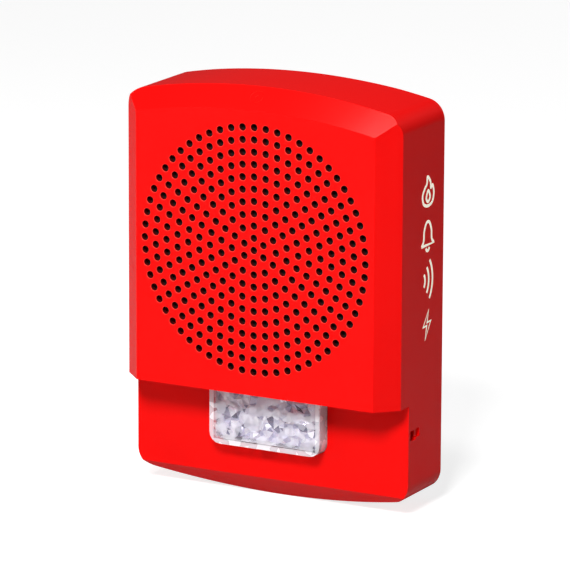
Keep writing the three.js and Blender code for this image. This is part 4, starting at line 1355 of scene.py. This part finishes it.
lines = symbol_lines()
symbols = grow("printed_symbols", stroke_tree(), Lines=lines, Material=cream)
bpy.data.objects.remove(lines)
shade(symbols, 60.0)
use_finish(symbols, cream)
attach(symbols, "appliance")
print("symbols:", len(symbols.data.polygons), "faces")

# %% [markdown]
# ## The strobe's reflector
#
# Behind the clear lens lies a metallised insert of many small facets that throws the flash to all sides.
# Its rule is simple: a thin block with a grid on its front, each grid point pushed a random way. The
# random numbers have a fixed seed, so the facets come out the same each time. A point strays by less than
# half a cell, so that no facet turns over, and the points on the block's rim stay where they are. Flat
# shading keeps every facet a separate mirror, and a random number on each face chooses its tone, a
# painted reflection.

# %% Grow the facets
tray_low, tray_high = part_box("strobe_reflector")
facet_columns = 19
facet_rows = 10
stray = 0.48
short_of_half = 0.499


def facet_tree():
    graph, given = geometry_tree(
        "facet_insert",
        [
            ("Size", "Vector", (1, 1, 1)),
            ("Centre", "Vector", (0, 0, 0)),
            ("Columns", "Int", facet_columns),
            ("Rows", "Int", facet_rows),
            ("Relief", "Float", 2.4 * MM),
            ("Seed", "Int", 11),
            ("Material", "Material", None),
        ],
    )
    block = graph.add(
        "GeometryNodeMeshCube",
        None,
        {"Size": given["Size"], "Vertices X": given["Columns"], "Vertices Y": 2, "Vertices Z": given["Rows"]},
    )
    x, y, z = graph.split(graph.add("GeometryNodeInputPosition"))
    wide, deep, tall = graph.split(given["Size"])
    in_columns = x.math("ABSOLUTE") < wide * short_of_half
    in_rows = z.math("ABSOLUTE") < tall * short_of_half
    inside = in_columns * in_rows * (y < 0.0)
    column = wide / (facet_columns - 1) * stray
    row = tall / (facet_rows - 1) * stray
    least = {0: column * -1.0, 1: given["Relief"] * -1.0, 2: row * -1.0}
    low = graph.add("ShaderNodeCombineXYZ", None, least)
    high = graph.add("ShaderNodeCombineXYZ", None, {0: column, 1: 0.0, 2: row})
    push = graph.add(
        "FunctionNodeRandomValue", {"data_type": "FLOAT_VECTOR"}, {0: low, 1: high, "Seed": given["Seed"]}
    )
    moved = graph.add("ShaderNodeVectorMath", {"operation": "SCALE"}, {0: push, "Scale": inside})
    rough = graph.add("GeometryNodeSetPosition", None, {"Geometry": block, "Offset": moved})
    split = graph.add("GeometryNodeTriangulate", None, {"Mesh": rough})
    # Each facet's random tone, which the finish reads as its painted reflection.
    tone = graph.add(
        "FunctionNodeRandomValue", {"data_type": "FLOAT"}, {2: 0.0, 3: 1.0, "Seed": given["Seed"] + 5.0}, 1
    )
    toned = graph.add(
        "GeometryNodeStoreNamedAttribute",
        {"data_type": "FLOAT", "domain": "FACE"},
        {"Geometry": split, "Name": "shade", "Value": tone},
    )
    set_down = graph.add("GeometryNodeTransform", None, {"Geometry": toned, "Translation": given["Centre"]})
    finish_tree(graph, set_down, given["Material"])
    return graph


facet_front = tray_low.y + 0.8 * MM
facet_size = Vector((tray_high.x - tray_low.x, tray_high.y - facet_front, tray_high.z - tray_low.z))
facet_centre = Vector((0, (facet_front + tray_high.y) / 2, (tray_low.z + tray_high.z) / 2))
facets = grow("strobe_facets", facet_tree(), Size=facet_size, Centre=facet_centre, Material=facets_finish)
stand_for(facets, "strobe_reflector")
print("facets:", len(facets.data.polygons))

# %% [markdown]
# ## Everything else
#
# The other pieces are stamped, moulded or turned parts whose solids are already right. Each gets its
# softened edges by the helper above, with an edge width that suits how it is made: wide on mouldings,
# narrow on sheet and on turned parts.

# %% Round the edges of the remaining pieces
rounding_of = {
    "strobe_lens": 0.7,
    "rear_chassis": 0.35,
    "mounting_plate": 0.25,
    "lock_bracket": 0.25,
    "terminal_block": 0.3,
    "contact_header": 0.25,
    "candela_slider": 0.2,
    "volume_dial": 0.25,
    "lock_screw": 0.2,
    "lock_nut": 0.25,
    "main_board": 0.12,
    "strobe_board": 0.12,
    "storage_capacitor": 0.5,
    "filter_capacitor": 0.4,
    "boost_inductor": 0.3,
    "transformer_core": 0.15,
    "transformer_winding": 0.6,
    "candela_switch_body": 0.25,
    "volume_switch_body": 0.25,
    "speaker_basket": 0.2,
    "speaker_top_plate": 0.2,
    "speaker_magnet": 0.5,
    "speaker_yoke": 0.3,
    "speaker_gasket": 0.2,
    "speaker_terminal_strip": 0.12,
    "speaker_spider": 0.1,
    "speaker_surround": 0.12,
    "speaker_cone": 0.15,
    "dust_cap": 0.12,
    "voice_coil_former": 0.05,
    "voice_coil_winding": 0.2,
    "grille_scrim": 0.1,
    "speaker_lead_positive": 0.1,
    "speaker_lead_negative": 0.1,
}
special_finish = {"speaker_spider": spider_cloth}
small_edge = 0.12
screws = ("terminal_screw", "chassis_screw", "speaker_screw")
small_families = (*screws, "terminal_contact", "contact_spring", "strobe_led")
for node in frame["nodes"]:
    if node.startswith(small_families):
        rounding_of[node] = small_edge
for node, width in rounding_of.items():
    refine(node, width, special_finish.get(node))
print("refined:", len(rounding_of), "pieces")

# %% [markdown]
# A solid that a finer piece stands for is hidden, yet it stays in the frame, so it gets the finish of its
# slot as well.

# %% Give every solid of the frame its finish too
for node, piece in frame["nodes"].items():
    use_finish(piece, MATERIAL_OF_SLOT[slot_of[node]])
print("dressed:", len(frame["nodes"]), "solids")
